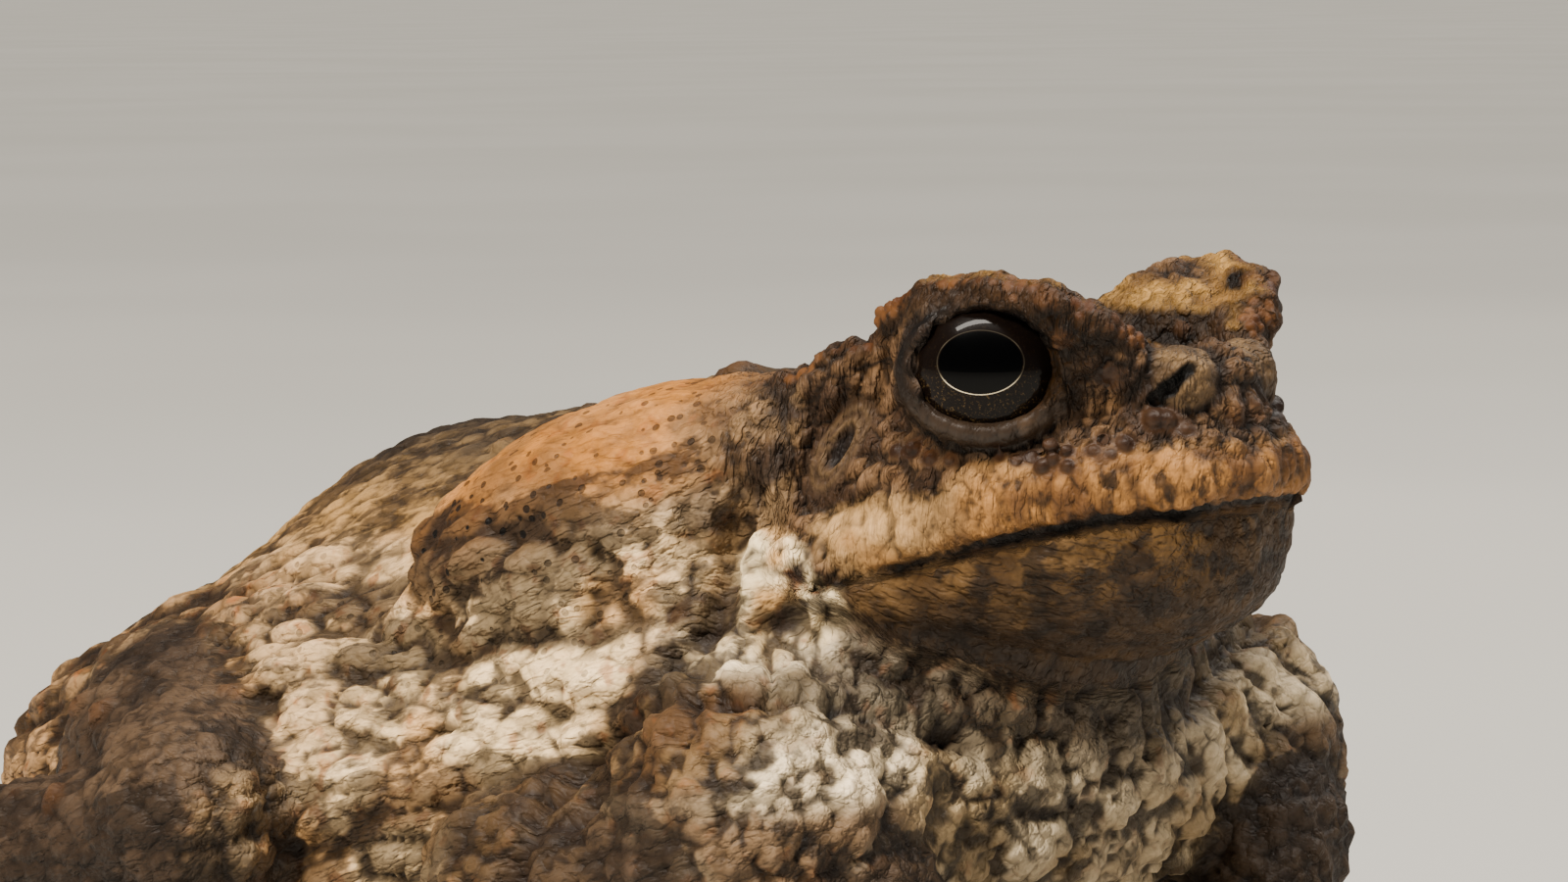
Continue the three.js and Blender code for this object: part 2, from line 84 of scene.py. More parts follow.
EAR_RIDGE = [[15.2, -41.5, 69.4], [17.2, -37, 67.8], [18.4, -32.5, 65]]
EAR_RIDGE_RADII = [1.8, 1.9, 1.7]
NOSE_RIDGE = [[4.8, -62.6, 66.6], [9.8, -58, 70.2]]
TEMPLE = [[13.6, -42.5, 66.5], [15.2, -37, 64.8], [16.8, -31.5, 61.5]]
SNOUT_TIP = dict(centre=[0, -63.2, 66.6], radii=[5.4, 3.8, 3.8])
NOSTRIL_DOME = dict(centre=[4.3, -63.2, 67.5], radii=[2.9, 3.1, 2.9])
NOSTRIL_SLIT = [[7.5, -63.3, 65.8], [6.9, -64.2, 66.9], [5.9, -65.6, 68.5], [4.7, -66.1, 69.7]]
NOSTRIL_SLIT_RADII = [0.35, 0.6, 0.45, 0.15]
# Rounds of the head and the trunk: centre, half-axes, slope of the long axis, softness of the join
HEAD_ROUNDS = [
    ([0, -43, 58], [20.5, 22, 10.5], 0, 0), ([0, -55.5, 61.5], [11.5, 12.7, 7.2], 0, 5),
    ([0, -45.5, 51.2], [17.5, 21.7, 9.5], 0, 4)]
TRUNK_ROUNDS = [
    ([0, -16, 38], [35, 30, 27], 0, 0), ([0, 12, 25.6], [46, 47, 26], 0, 8),
    ([0, 14, 37.6], [25, 44, 22], -0.15, 10), ([0, 31, 28.6], [14, 20, 26], 0, 8),
    ([24, 40, 21], [19, 26, 19], 0, 8), ([0, 44, 22], [24, 21.5, 18], 0, 8),
    ([0, -31, 30.5], [36, 22, 17], 0, 8), ([30, -38.5, 28], [13, 13, 14.5], 0, 6)]
# Ropes along the head: path, radii, softness of the join
HEAD_ROPES = [(LIP, LIP_RADII, 2), (LOWER_LIP, LOWER_LIP_RADII, 2), (TEMPLE, [2.6, 2.6, 2.4], 3),
              (NOSE_RIDGE, [2.2, 2.6], 2.5)]
# Rows of beads: path, pitch, least and greatest radius, heart, reach, rise in degrees, seed
BEAD_ROWS = [
    (BROW, 1.05, 0.44, 0.6, BROW_HEART, 1.45, 38, 1), (BROW, 1.15, 0.36, 0.5, BROW_HEART, 1.45, 78, 5),
    (BROW, 1.2, 0.34, 0.46, BROW_HEART, 1.5, 2, 6), (EAR_RIDGE, 1.25, 0.5, 0.75, (8, -36), 1.6, 45, 2)]
BEAD_STRAY = 0.12
# Warts of the face: place and radius
FACE_WARTS = [
    [17.2, -54.4, 61.6, 0.5], [16.2, -55.6, 61.2, 0.45], [15.6, -56.6, 61.6, 0.6], [15.3, -57.6, 60.7, 0.6],
    [14.7, -58.2, 61.3, 0.55], [14.6, -57.9, 62.4, 0.7], [13.9, -59, 62, 0.5], [14.4, -59.6, 60.7, 0.45],
    [12.5, -60.8, 61.9, 0.5], [12.2, -61.2, 60.9, 0.6], [11.6, -61.9, 61.5, 0.5], [11.7, -61.2, 62.9, 0.5],
    [10.4, -62.4, 62.3, 0.75], [9.9, -62.7, 61.2, 0.5], [8, -63.6, 64.4, 0.95], [7.2, -64.4, 64.3, 0.8],
    [6.2, -65.5, 63.4, 0.7], [9.4, -59.7, 68.6, 1.3], [19, -46.4, 61.7, 0.75], [15.9, -40.7, 64.7, 0.7],
    [18.9, -48.3, 61, 0.55], [19.1, -44.6, 61.3, 0.5], [18.6, -50.2, 61, 0.4]]
EAR_DRUM = ([0, -38.2, 61.2], [1, 0, 0])
PAROTOID = dict(centre=[24.6, -14.5, 56.6], radii=[9.4, 20, 5.6], along=[12.5, 34, -13.5],
                up=[0.62, 0, 0.78])
JAW_GLAND = dict(centre=[22.8, -34.4, 48.6], radii=[3.9, 4.2, 4.9])
JAW_LOBE = dict(centre=[22.6, -38.2, 47], radii=[2.4, 2.4, 2.8])
# Dark spots on the gland behind the mouth's corner: place and radius
GLAND_SPOTS = [((24.4, -37.8, 51), 1.0), ((25.6, -37, 46.4), 1.2), ((23.3, -39.2, 48.6), 0.8)]
UPPER_ARM = dict(path=[[17, -38, 29], [38, -18, 23.5]], radii=[10, 8.8], soft=4, swell=10)
FOREARM = dict(path=[[39, -20, 21], [34.5, -37, 25.6], [27.5, -47, 22], [20.5, -53.5, 12.5]],
               radii=[8.2, 8.3, 7.2, 5], soft=4, swell=9)
THIGH = dict(path=[[14, 50, 26], [34, 32, 26.5], [50, 13, 27]], radii=[15, 12.5, 8.6], soft=4, swell=15)
SHANK = dict(path=[[50, 12, 26], [51, 36, 18], [46, 58, 9.5]], radii=[8.2, 8.6, 5.2], soft=4, swell=9)
ANKLE = dict(path=[[46, 58, 7.6], [52, 36, 5.4]], radii=[5.2, 4.6], soft=2, swell=6)
HAND = dict(pad=[18.6, -57.6, 4.4], radii=[5.8, 7.2, 4.6], heading=[-0.3, -0.95], tilt=-0.35,
            digits=[(-46, 9.5, 2.0), (-17, 10, 1.9), (10, 13, 1.9), (40, 10.5, 1.9)], web=0)
FOOT = dict(pad=[53, 31.5, 3.4], radii=[6.2, 8, 3.8], heading=[0.16, -0.987], tilt=-0.1,
            digits=[(44, 11, 1.9), (26, 16, 2.0), (9, 25, 2.1), (-6, 35, 2.2), (-22, 24, 2.1)], web=0.55)
DIGIT_TIP_Z = 1.2
DIGIT_START = 4.0
# The face's small forms count before this y, over this height and within this depth
FACE_REAR, FACE_FOOT, FACE_DEPTH = -28, 38, 9
# The box in which the hide is drawn, the grid's pitch, and how often the mesh is refined
DRAWING_LOW, DRAWING_HIGH = (-70, -79, -1.3), (70, 76, 80)
DRAWING_PITCH = 1.2
REFINEMENTS = 3


# Distance forms: each takes an array of points and gives how far each lies outside a surface

def unit(v):
    """The vector, or each row of vectors, divided by its length."""
    v = np.asarray(v, float)
    return v / np.linalg.norm(v, axis=-1, keepdims=True)


def melt(a, b, k):
    """Smooth minimum: the lesser of two distances, rounded where they differ by less than k."""
    h = np.clip(0.5 + 0.5 * (b - a) / k, 0, 1)
    return b + (a - b) * h - k * h * (1 - h)


def carve(a, b, k):
    """Smooth difference: the greater of one distance and another one's opposite, rounded over k."""
    return -melt(-a, b, k)


def step(low, high, value):
    """Smooth step from 0 at low to 1 at high: 3 t squared less 2 t cubed."""
    t = np.clip((value - low) / (high - low), 0, 1)
    return t * t * (3 - 2 * t)


def ellipsoid(points, centre, radii, along=(0, 1, 0), up=(0, 0, 1)):
    """Ellipsoid of half-axes (across, along, up): the scaled distance times itself less one, over its
    own slope."""
    y = unit(along)
    x = unit(np.cross(up, y))
    turned = (points - np.array(centre, float)) @ np.stack([x, y, np.cross(x, y)]).T
    radii = np.array(radii, float)
    scaled = np.sqrt(((turned / radii) ** 2).sum(1))
    slope = np.sqrt(((turned / radii ** 2) ** 2).sum(1)) + 1e-9
    return scaled * (scaled - 1) / slope


def rope(points, path, radii, k=2.0):
    """Round cones through the path's points, melted: distance to each stretch less its radius."""
    whole = None
    for a, b, ra, rb in zip(path[:-1], path[1:], radii[:-1], radii[1:]):
        a, line = np.array(a, float), np.subtract(b, a)
        off = points - a
        t = np.clip(off @ line / (line @ line), 0, 1)
        part = np.sqrt(((off - t[:, None] * line) ** 2).sum(1)) - (ra + (rb - ra) * t)
        whole = part if whole is None else melt(whole, part, k)
    return whole


def near(form, low, high, margin=7.0):
    """The form inside a box grown by the margin, and a distance of 3 mm over the margin outside it."""
    low, high = np.array(low) - margin, np.array(high) + margin

    def limited(points):
        inside = np.all((points > low) & (points < high), axis=1)
        distance = np.full(len(points), margin + 3.0)
        if inside.any():
            distance[inside] = form(points[inside])
        return distance
    return limited


def boxed(form, *paths, swell=0.0):
    """The form kept near the box of some points, grown by a swell."""
    places = np.concatenate([np.reshape(p, (-1, 3)) for p in paths]).astype(float)
    return near(form, places.min(0) - swell, places.max(0) + swell)


def rope_form(path, radii, soft=2.0, swell=2.0):
    """A rope along a path, kept near its own box."""
    return boxed(lambda p: rope(p, path, radii, soft), path, swell=swell)


def mirrored(points):
    """The points, with those of the right side brought over to the left by the size of x."""
    left = points.copy()
    left[:, 0] = np.abs(left[:, 0])
    return left


def eye_axes():
    """The eye's rearward, upward and outward directions."""
    out = unit(GAZE)
    back = unit(np.cross((0, 0, 1), out))
    return back, np.cross(out, back), out


def lid_rim(count=28, across=66.0, high=47.0, lift=0.45):
    """Loop of the lids' margin: on a ball just over the eye, at an angle from the gaze that runs from
    across degrees level to high degrees up."""
    back, top, out = eye_axes()
    t = np.linspace(0, 2 * np.pi, count + 1)
    level, rise = np.radians(across) * np.cos(t), np.radians(high) * np.sin(t)
    open_angle = np.hypot(level, rise)
    side = unit(level[:, None] * back + rise[:, None] * top)
    ball = EYE_RADIUS + lift
    return EYE + ball * (np.cos(open_angle)[:, None] * out + np.sin(open_angle)[:, None] * side), t


def rounds(points, table):
    """Ellipsoids melted one after another, by a table of centre, half-axes, slope and softness."""
    whole = None
    for centre, radii, slope, soft in table:
        part = ellipsoid(points, centre, radii, (0, 1, slope))
        whole = part if whole is None else melt(whole, part, soft)
    return whole


def skull(points):
    """The head: the rounds of the cranium, snout and lower jaw, and the ropes of the lips, the temple
    and the nose's ridge, each melted with those before it."""
    d = rounds(points, HEAD_ROUNDS)
    for path, radii, soft in HEAD_ROPES:
        d = melt(d, rope(points, path, radii), soft)
    return d


def trunk(points):
    """The trunk: the rounds of the shoulders, belly, back, hips, rump and chest, melted."""
    return rounds(points, TRUNK_ROUNDS)


def paw(pad, radii, heading, tilt, digits, web):
    """A hand or foot: a pad, digits as ropes fanned out from it, and thin webs with hollow edges."""
    x, y = heading
    paths = []
    for degrees, reach, radius in digits:
        turn = math.radians(degrees)
        ray = np.array([x * math.cos(turn) - y * math.sin(turn),
                        x * math.sin(turn) + y * math.cos(turn), 0])
        ray = ray / np.linalg.norm(ray)
        stops = [(DIGIT_START, pad[2] - 0.6), (DIGIT_START + reach * 0.5, radius + 0.9),
                 (DIGIT_START + reach, DIGIT_TIP_Z)]
        path = [np.array([pad[0], pad[1], z]) + ray * along for along, z in stops]
        paths.append((path, [radius * 1.15, radius * 0.85, radius * 0.82]))

    def form(points):
        d = ellipsoid(points, pad, radii, [x, y, tilt])
        for path, thick in paths:
            d = melt(d, rope(points, path, thick, 1), 1.2)
        if web:
            for (a, _), (b, _) in zip(paths[:-1], paths[1:]):
                d = melt(d, web_sheet(points, pad, a, b, web), 0.8)
        return d
    return form, [path for path, _ in paths]


def web_sheet(points, pad, a, b, share, half=0.75):
    """A flat sheet between two digits: a triangle from the pad to a share of both, its free edge
    hollowed by a circle, and its distance the greatest of those of its sides and its faces."""
    heart = np.array(pad[:2], float)
    p, q = (path[0][:2] + share * (path[2][:2] - path[0][:2]) for path in (a, b))
    flat = points[:, :2]
    inside = (heart + p + q) / 3
    sides = []
    for start, end in ((heart, p), (p, q), (q, heart)):
        normal = unit([end[1] - start[1], start[0] - end[0]])
        if (inside - start) @ normal > 0:
            normal = -normal
        sides.append((flat - start) @ normal)
    middle, width = (p + q) / 2, np.linalg.norm(q - p)
    outward = unit(middle - heart)
    notch = width * 0.62 - np.linalg.norm(flat - middle - outward * width * 0.3, axis=1)
    level = np.abs(points[:, 2] - DIGIT_TIP_Z + 0.2) - half
    return np.maximum.reduce(sides + [notch, level])


hand_form, HAND_PATHS = paw(**HAND)
foot_form, FOOT_PATHS = paw(**FOOT)
hand = boxed(hand_form, [HAND["pad"]], *HAND_PATHS, swell=4)
foot = boxed(foot_form, [FOOT["pad"]], *FOOT_PATHS, swell=5)
upper_arm, forearm, thigh, shank, ankle = (
    rope_form(**limb) for limb in (UPPER_ARM, FOREARM, THIGH, SHANK, ANKLE))
parotoid = boxed(lambda p: ellipsoid(p, **PAROTOID), [PAROTOID["centre"]], swell=22)
rim_path, rim_turn = lid_rim()
rim_radii = 0.62 - 0.38 * np.sin(rim_turn)    # thin above, thick below
lid_rope = rope_form(rim_path, rim_radii, 0.3)
brow_rope = rope_form(BROW, BROW_RADII)
ear_rope = rope_form(EAR_RIDGE, EAR_RIDGE_RADII)


def brow_shelf(points):
    """The upper lid: a ball over the socket under a plate that rises to its outer edge, and a rope
    along that edge."""
    d = melt(ellipsoid(points, **SOCKET_BALL), ellipsoid(points, **LID_PLATE), 2)
    return melt(d, brow_rope(points), 2)


brow = near(brow_shelf, *BROW_BOX)


def body(points):
    """Head and trunk melted at the neck."""
    return melt(skull(points), trunk(points), 9)


def on_skin_from(origin, towards, reach=60.0):
    """Where a ray from a point leaves the body: its reach halved again and again."""
    low, high = 0.0, reach
    origin, ray = np.array(origin, float), unit(towards)
    for _ in range(30):
        middle = (low + high) / 2
        if body((origin + ray * middle)[None])[0] < 0:
            low = middle
        else:
            high = middle
    return origin + ray * high


def on_skin(point):
    """Where a level ray from the head's middle through a point leaves the body."""
    origin = np.array([0, -46, point[2]], float)
    return on_skin_from(origin, np.subtract(point, origin))


def bead_row(path, pitch, low, high, heart, reach, rise, seed):
    """Balls at even steps along a path, set off from it by a reach, away from an upright line through
    the heart and up by an angle in degrees, their radii drawn between low and high."""
    path = np.array(path, float)
    run = np.concatenate([[0], np.cumsum(np.linalg.norm(np.diff(path, axis=0), axis=1))])
    steps = np.arange(0, run[-1], pitch)
    random = np.random.default_rng(seed)
    centres = np.stack([np.interp(steps, run, path[:, i]) for i in range(3)], 1)
    level = unit(centres[:, :2] - np.array(heart))
    slant = math.radians(rise)
    outward = np.concatenate([level * math.cos(slant), np.full((len(steps), 1), math.sin(slant))], 1)
    shift = random.uniform(-BEAD_STRAY, BEAD_STRAY, (len(steps), 3))
    return centres + reach * outward + shift, random.uniform(low, high, len(steps))


def balls(rows):
    """Form of many balls, given as rows of centres and radii: distance to the nearest."""
    centres = np.concatenate([centres for centres, _ in rows])
    radii = np.concatenate([radii for _, radii in rows])

    def distance(points):
        away = np.full(len(points), 9.0)
        for centre, radius in zip(centres, radii):
            away = np.minimum(away, np.linalg.norm(points - centre, axis=1) - radius)
        return away
    return near(distance, centres.min(0), centres.max(0), 2.5)


rim_beads = balls([bead_row(*row) for row in BEAD_ROWS])
dark_beads = balls([(np.array(FACE_WARTS)[:, :3], np.array(FACE_WARTS)[:, 3])])


def mouth_height(y):
    """Height of the mouth's line at each y, by straight pieces between five of its places."""
    return np.interp(y, [-71, -62, -54, -45.6, -37.4], [57, 56, 53.9, 51.2, 49])


mouth_path = [on_skin(p) for p in MOUTH]
mouth = rope_form(mouth_path, [MOUTH_RADIUS] * len(MOUTH), 0.5, swell=1)
slit = rope_form(NOSTRIL_SLIT, NOSTRIL_SLIT_RADII, 0.3, swell=1)


def flesh(points):
    """The whole toad: every form melted in turn, the eye, mouth and nostrils carved out of the face, and
    all of it cut level at the floor."""
    p = mirrored(points)
    d = body(p)
    d = melt(d, parotoid(p), 7)
    d = melt(d, brow(p), 1.6)
    d = melt(d, ear_rope(p), 2)
    face = np.flatnonzero((p[:, 1] < FACE_REAR) & (p[:, 2] > FACE_FOOT) & (d < FACE_DEPTH))
    q = p[face]
    f = d[face]
    for lump, soft in ((JAW_LOBE, 0.8), (JAW_GLAND, 0.8), (SNOUT_TIP, 1.5), (NOSTRIL_DOME, 0.9)):
        f = melt(f, ellipsoid(q, **lump), soft)
    f = melt(f, np.linalg.norm(q - EYE, axis=1) - EYE_RADIUS - LID, 1.5)
    out = eye_axes()[2]
    f = carve(f, ellipsoid(q, EYE + out * EYE_OPENING_OUT, EYE_OPENING, out), 0.5)
    f = melt(f, lid_rope(q), 0.4)
    f = carve(f, mouth(q), 0.6)
    f = carve(f, slit(q), 0.4)
    f = melt(f, np.minimum(rim_beads(q), dark_beads(q)), 0.3)
    d[face] = f
    d = melt(d, melt(upper_arm(p), melt(forearm(p), hand(p), 2), 2.5), 2)
    d = melt(d, melt(thigh(p), melt(shank(p), melt(ankle(p), foot(p), 2), 1.5), 1.5), 2)
    return carve(d, points[:, 2], 0.4)


# Meshes: drawing a form, refining it and settling its points on the surface

def draw(form, low, high, pitch):
    """Surface nets: a corner in each grid cell that the surface crosses, at the mean of its crossings,
    and a quad round each grid line that it crosses. Returns corners and triangles."""
    count = [int(np.ceil((b - a) / pitch)) + 1 for a, b in zip(low, high)]
    axes = [low[i] + pitch * np.arange(count[i]) for i in range(3)]
    grid = np.stack(np.meshgrid(*axes, indexing="ij"), -1).reshape(-1, 3)
    chunk = 300000
    value = np.concatenate([form(grid[i:i + chunk]) for i in range(0, len(grid), chunk)]).reshape(count)
    cells = [n - 1 for n in count]
    crossings = np.zeros(cells)
    total = np.zeros(cells + [3])

    def at(corner):
        return value[tuple(slice(c, c + n) for c, n in zip(corner, cells))]
    corners = [(i, j, k) for i in (0, 1) for j in (0, 1) for k in (0, 1)]
    for a in corners:
        for axis in range(3):
            if a[axis]:
                continue
            b = tuple(1 if i == axis else c for i, c in enumerate(a))
            va, vb = at(a), at(b)
            crossed = (va < 0) != (vb < 0)
            share = np.where(crossed, va / np.where(crossed, va - vb, 1), 0)
            crossings += crossed
            for i in range(3):
                total[..., i] += np.where(crossed, a[i] + share * (b[i] - a[i]), 0)
    used = crossings > 0
    number = np.full(cells, -1)
    number[used] = np.arange(used.sum())
    points = (np.argwhere(used) + total[used] / crossings[used][:, None]) * pitch + np.array(low)
    inside = value < 0
    quads = []
    for axis in range(3):
        i, j = (axis + 1) % 3, (axis + 2) % 3
        first = np.take(inside, np.arange(count[axis] - 1), axis)
        second = np.take(inside, np.arange(1, count[axis]), axis)
        where = np.argwhere(first != second)
        keep = (where[:, i] > 0) & (where[:, j] > 0) & (where[:, i] < cells[i]) & (where[:, j] < cells[j])
        where = where[keep]
        ring = []
        for back_i, back_j in ((1, 1), (0, 1), (0, 0), (1, 0)):
            cell = where.copy()
            cell[:, i] -= back_i
            cell[:, j] -= back_j
            ring.append(number[tuple(cell.T)])
        quad = np.stack(ring, 1)
        turned = ~first[tuple(where.T)]
        quad[turned] = quad[turned][:, ::-1]
        quads.append(quad)
    quads = np.concatenate(quads)
    return points, np.concatenate([quads[:, [0, 1, 2]], quads[:, [0, 2, 3]]])


def refine(points, faces, size):
    """Splits each edge that is longer than the size asked for at its middle, and each face into two,
    three or four by the number of its edges that are split. Where two are, the four-sided rest is cut
    along its shorter diagonal."""
    n = len(points)
    ends = np.sort(np.stack([faces, np.roll(faces, -1, 1)], -1), -1)
    edges, place = np.unique(ends[..., 0].astype(np.int64) * n + ends[..., 1], return_inverse=True)
    a, b = points[edges // n], points[edges % n]
    middle = (a + b) / 2
    long = np.linalg.norm(b - a, axis=1) > size(middle)
    new = np.full(len(edges), -1)
    new[long] = n + np.arange(long.sum())
    m = new[place.reshape(faces.shape)]
    points = np.concatenate([points, middle[long]])
    split = (m >= 0).sum(1)
    # Each face is turned so that its split edges come first: with two, the corner between them second
    lead = np.zeros(len(faces), int)
    lead[split == 1] = np.argmax(m[split == 1] >= 0, 1)
    lead[split == 2] = (np.argmin(m[split == 2] >= 0, 1) + 1) % 3
    order = (lead[:, None] + np.arange(3)) % 3
    f = np.take_along_axis(faces, order, 1)
    m = np.take_along_axis(m, order, 1)
    whole, one, two, three = (split == s for s in range(4))
    out = [f[whole]]
    g, h = f[one], m[one]
    out += [np.stack([g[:, 0], h[:, 0], g[:, 2]], 1), np.stack([h[:, 0], g[:, 1], g[:, 2]], 1)]
    g, h = f[two], m[two]
    out.append(np.stack([h[:, 0], g[:, 1], h[:, 1]], 1))
    short = (np.linalg.norm(points[g[:, 0]] - points[h[:, 1]], axis=1)
             < np.linalg.norm(points[h[:, 0]] - points[g[:, 2]], axis=1))
    s, t = g[short], h[short]
    out += [np.stack([s[:, 0], t[:, 0], t[:, 1]], 1), np.stack([s[:, 0], t[:, 1], s[:, 2]], 1)]
    s, t = g[~short], h[~short]
    out += [np.stack([s[:, 0], t[:, 0], s[:, 2]], 1), np.stack([t[:, 0], t[:, 1], s[:, 2]], 1)]
    g, h = f[three], m[three]
    out += [np.stack([g[:, 0], h[:, 0], h[:, 2]], 1), np.stack([h[:, 0], g[:, 1], h[:, 1]], 1),
            np.stack([h[:, 2], h[:, 1], g[:, 2]], 1), h]
    return points, np.concatenate(out)


def gradient(form, points, reach=0.06):
    """Slope of a form from four places round each point, at the corners of a tetrahedron."""
    corners = np.array([[1, -1, -1], [-1, -1, 1], [-1, 1, -1], [1, 1, 1]], float)
    slope = np.zeros_like(points)
    for corner in corners:
        slope += form(points + reach * corner)[:, None] * corner
    return slope / (4 * reach)


def settle(form, points, rounds=2, most=0.5):
    """Steps down to the surface, each the slope times the distance over the slope's square, and at
    most so long."""
    for _ in range(rounds):
        slope = gradient(form, points)
        move = slope * (form(points) / np.maximum((slope ** 2).sum(1), 0.2))[:, None]
        far = np.linalg.norm(move, axis=1)
        points = points - move * np.minimum(1, most / np.maximum(far, 1e-9))[:, None]
    return points


def neighbours_mean(values, faces):
    """Mean of each point's neighbours, over the edges of the faces."""
    a = faces.ravel()
    b = np.roll(faces, -1, 1).ravel()
    count = np.bincount(a, minlength=len(values)) + np.bincount(b, minlength=len(values))
    total = np.stack([np.bincount(a, values[b, i], len(values)) + np.bincount(b, values[a, i], len(values))
                      for i in range(values.shape[1])], 1)
    return total / np.maximum(count, 1)[:, None]


def face_normals(points, faces):
    """Normals at the points: the sum of their faces' area vectors, made unit."""
    a, b, c = (points[faces[:, i]] for i in range(3))
    area = np.cross(b - a, c - a)
    total = np.stack([sum(np.bincount(faces[:, i], area[:, k], len(points)) for i in range(3))
                      for k in range(3)], 1)
    return total / np.maximum(np.linalg.norm(total, axis=1, keepdims=True), 1e-12)


def relax(points, faces, share=0.5):
    """Slides each point along the surface towards the mean of its neighbours."""
    normal = face_normals(points, faces)
    move = (neighbours_mean(points, faces) - points) * share
    return points + move - normal * (move * normal).sum(1)[:, None]


# Random patterns in space

def scatter(cell, seed):
    """Three random numbers from 0 to 1 for each whole-numbered cell, by mixing its bits."""
    x, y, z = (cell[..., i].astype(np.uint64) for i in range(3))
    mixed = x * np.uint64(73856093) ^ y * np.uint64(19349663) ^ z * np.uint64(83492791)
    mixed ^= np.uint64(seed * 2654435761)
    out = []
    for turn in (0x9E3779B97F4A7C15, 0xBF58476D1CE4E5B9, 0x94D049BB133111EB):
        mixed = (mixed ^ (mixed >> np.uint64(30))) * np.uint64(turn)
        out.append((mixed >> np.uint64(40)).astype(float) / 2 ** 24)
    return np.stack(out, -1)


def grains(place, seed, jitter=0.85):
    """Distances to the nearest and second nearest of the random points, one to a unit cell, and the
    nearest one's random numbers."""
    base = np.floor(place).astype(np.int64)
    first = np.full(len(place), 9.0)
    second = first.copy()
    number = np.zeros((len(place), 3))
    for i in (-1, 0, 1):
        for j in (-1, 0, 1):
            for k in (-1, 0, 1):
                cell = base + np.array([i, j, k])
                random = scatter(cell, seed)
                d = np.linalg.norm(cell + 0.5 + jitter * (random - 0.5) - place, axis=1)
                closer = d < first
                second = np.where(closer, first, np.minimum(second, d))
                first = np.where(closer, d, first)
                number[closer] = random[closer]
    return first, second, number


def drift(place, seed):
    """Value noise from 0 to 1: random numbers at a unit grid's corners, smoothly blended between."""
    base = np.floor(place).astype(np.int64)
    t = place - base
    t = t * t * (3 - 2 * t)
    total = 0
    for i in (0, 1):
        for j in (0, 1):
            for k in (0, 1):
                corner = np.array([i, j, k])
                weight = np.prod(np.where(corner, t, 1 - t), axis=1)
                total = total + weight * scatter(base + corner, seed)[:, 0]
    return total


def to_path(points, path):
    """Distance to a line through the path's points."""
    return rope(points, path, [0.0] * len(path), 1e-6)


# The hide's relief and colours: folds, grains, warts, beads and pores, pressed out along the normals

ARM_FOLD = [[45.3, -24.7, 25.9], [40.3, -23.5, 31.3], [36, -24, 35.3], [35.9, -33.6, 39.5],
            [34.4, -41.4, 41.4], [30.2, -45.3, 41.6], [23.8, -47.1, 40.2], [15, -49.5, 36]]
SHOULDER = [[43, -26, 29], [38, -31, 36], [37.5, -40, 37.8]]
ELBOW_FOLD = [[42.4, -25.8, 29.4], [38.3, -31.2, 33.3], [38.6, -40.9, 34.9], [35.4, -46.9, 34],
              [31.2, -49.5, 31.7], [24, -51, 27]]
NECK_FOLD = [[18.6, -33, 66], [22, -31.6, 61], [23.4, -30.4, 56], [24.8, -30.6, 52.2], [26.8, -31.4, 48.6],
             [29.4, -31.6, 44.8], [32, -30, 41.6]]
CHIN_FOLD = [[24, -38, 47.2], [20, -46, 45.6], [12, -52.5, 43.4], [0, -55.5, 41]]
# Folds between the masses: path, depth, width
FOLDS = ((ARM_FOLD, 1.7, 1.0), (ELBOW_FOLD, 0.9, 0.9), (NECK_FOLD, 1.5, 1.0), (CHIN_FOLD, 0.8, 1.2))
# The lie of the skin: a direction on the left side, and the point about which it is stretched
FLANK_LIE = ((0.15, 1, -0.4), (40, -26, 34))
CHEST_LIE = ((0.57, -0.57, -0.6), (12, -48, 34))
NECK_LIE = ((0, 0.2, 1), (22, -31, 56))
LIP_LIE = ((0.1, 0.25, 1), (14, -58, 57))
GRAIN_LIE = ((0.15, 1, -0.4), (24, -30, 56))
CHEEK_LIE = ((0.1, -0.5, 1), (15, -56, 63))
JAW_LIE = ((0.3, 1, 0.25), (14, -54, 48))
ARM_LIE = ((0.3, 0.9, -0.1), (36, -30, 28))


def laid(points, lie, stretch):
    """Points with space shortened along the lie of the skin on their own side, so that a pattern read
    there grows long in it. The sideways part of the lie dies away near the middle line."""
    direction, pivot = (np.array(v, float) for v in lie)
    side = np.sign(points[:, 0]) * step(0, 14, np.abs(points[:, 0]))
    ray = unit(np.stack([direction[0] * side, np.full(len(side), direction[1]),
                         np.full(len(side), direction[2])], 1))
    off = points - pivot * np.stack([np.sign(points[:, 0]), np.ones(len(side)), np.ones(len(side))], 1)
    return points - (1 - 1 / stretch) * ray * (off * ray).sum(1)[:, None]


def cobbles(place, width, seed):
    """Close-set grains: one less the squared share of the nearest random point's distance in the
    second nearest's, which is 0 in the gaps and 1 on the tops."""
    first, second, _ = grains(place / width, seed)
    return 1 - (first / (second + 1e-6)) ** 2


def bumps(place, spacing, low, high, seed, share):
    """Round bumps on a share of the random points, one to a cell of the spacing: the root of one less
    the squared distance over a radius drawn between low and high."""
    first, _, number = grains(place / spacing, seed)
    radius = low + (high - low) * number[:, 1]
    height = np.sqrt(np.clip(1 - (first * spacing / radius) ** 2, 0, 1))
    return np.where(number[:, 2] < share, height * radius / high, 0)


def octaves(place, period, seed):
    """Value noise of a period and of 0.45 of it, two to one, centred on zero."""
    return (2 * drift(place / period, seed) + drift(place / (0.45 * period), seed + 1)) / 3 - 0.5


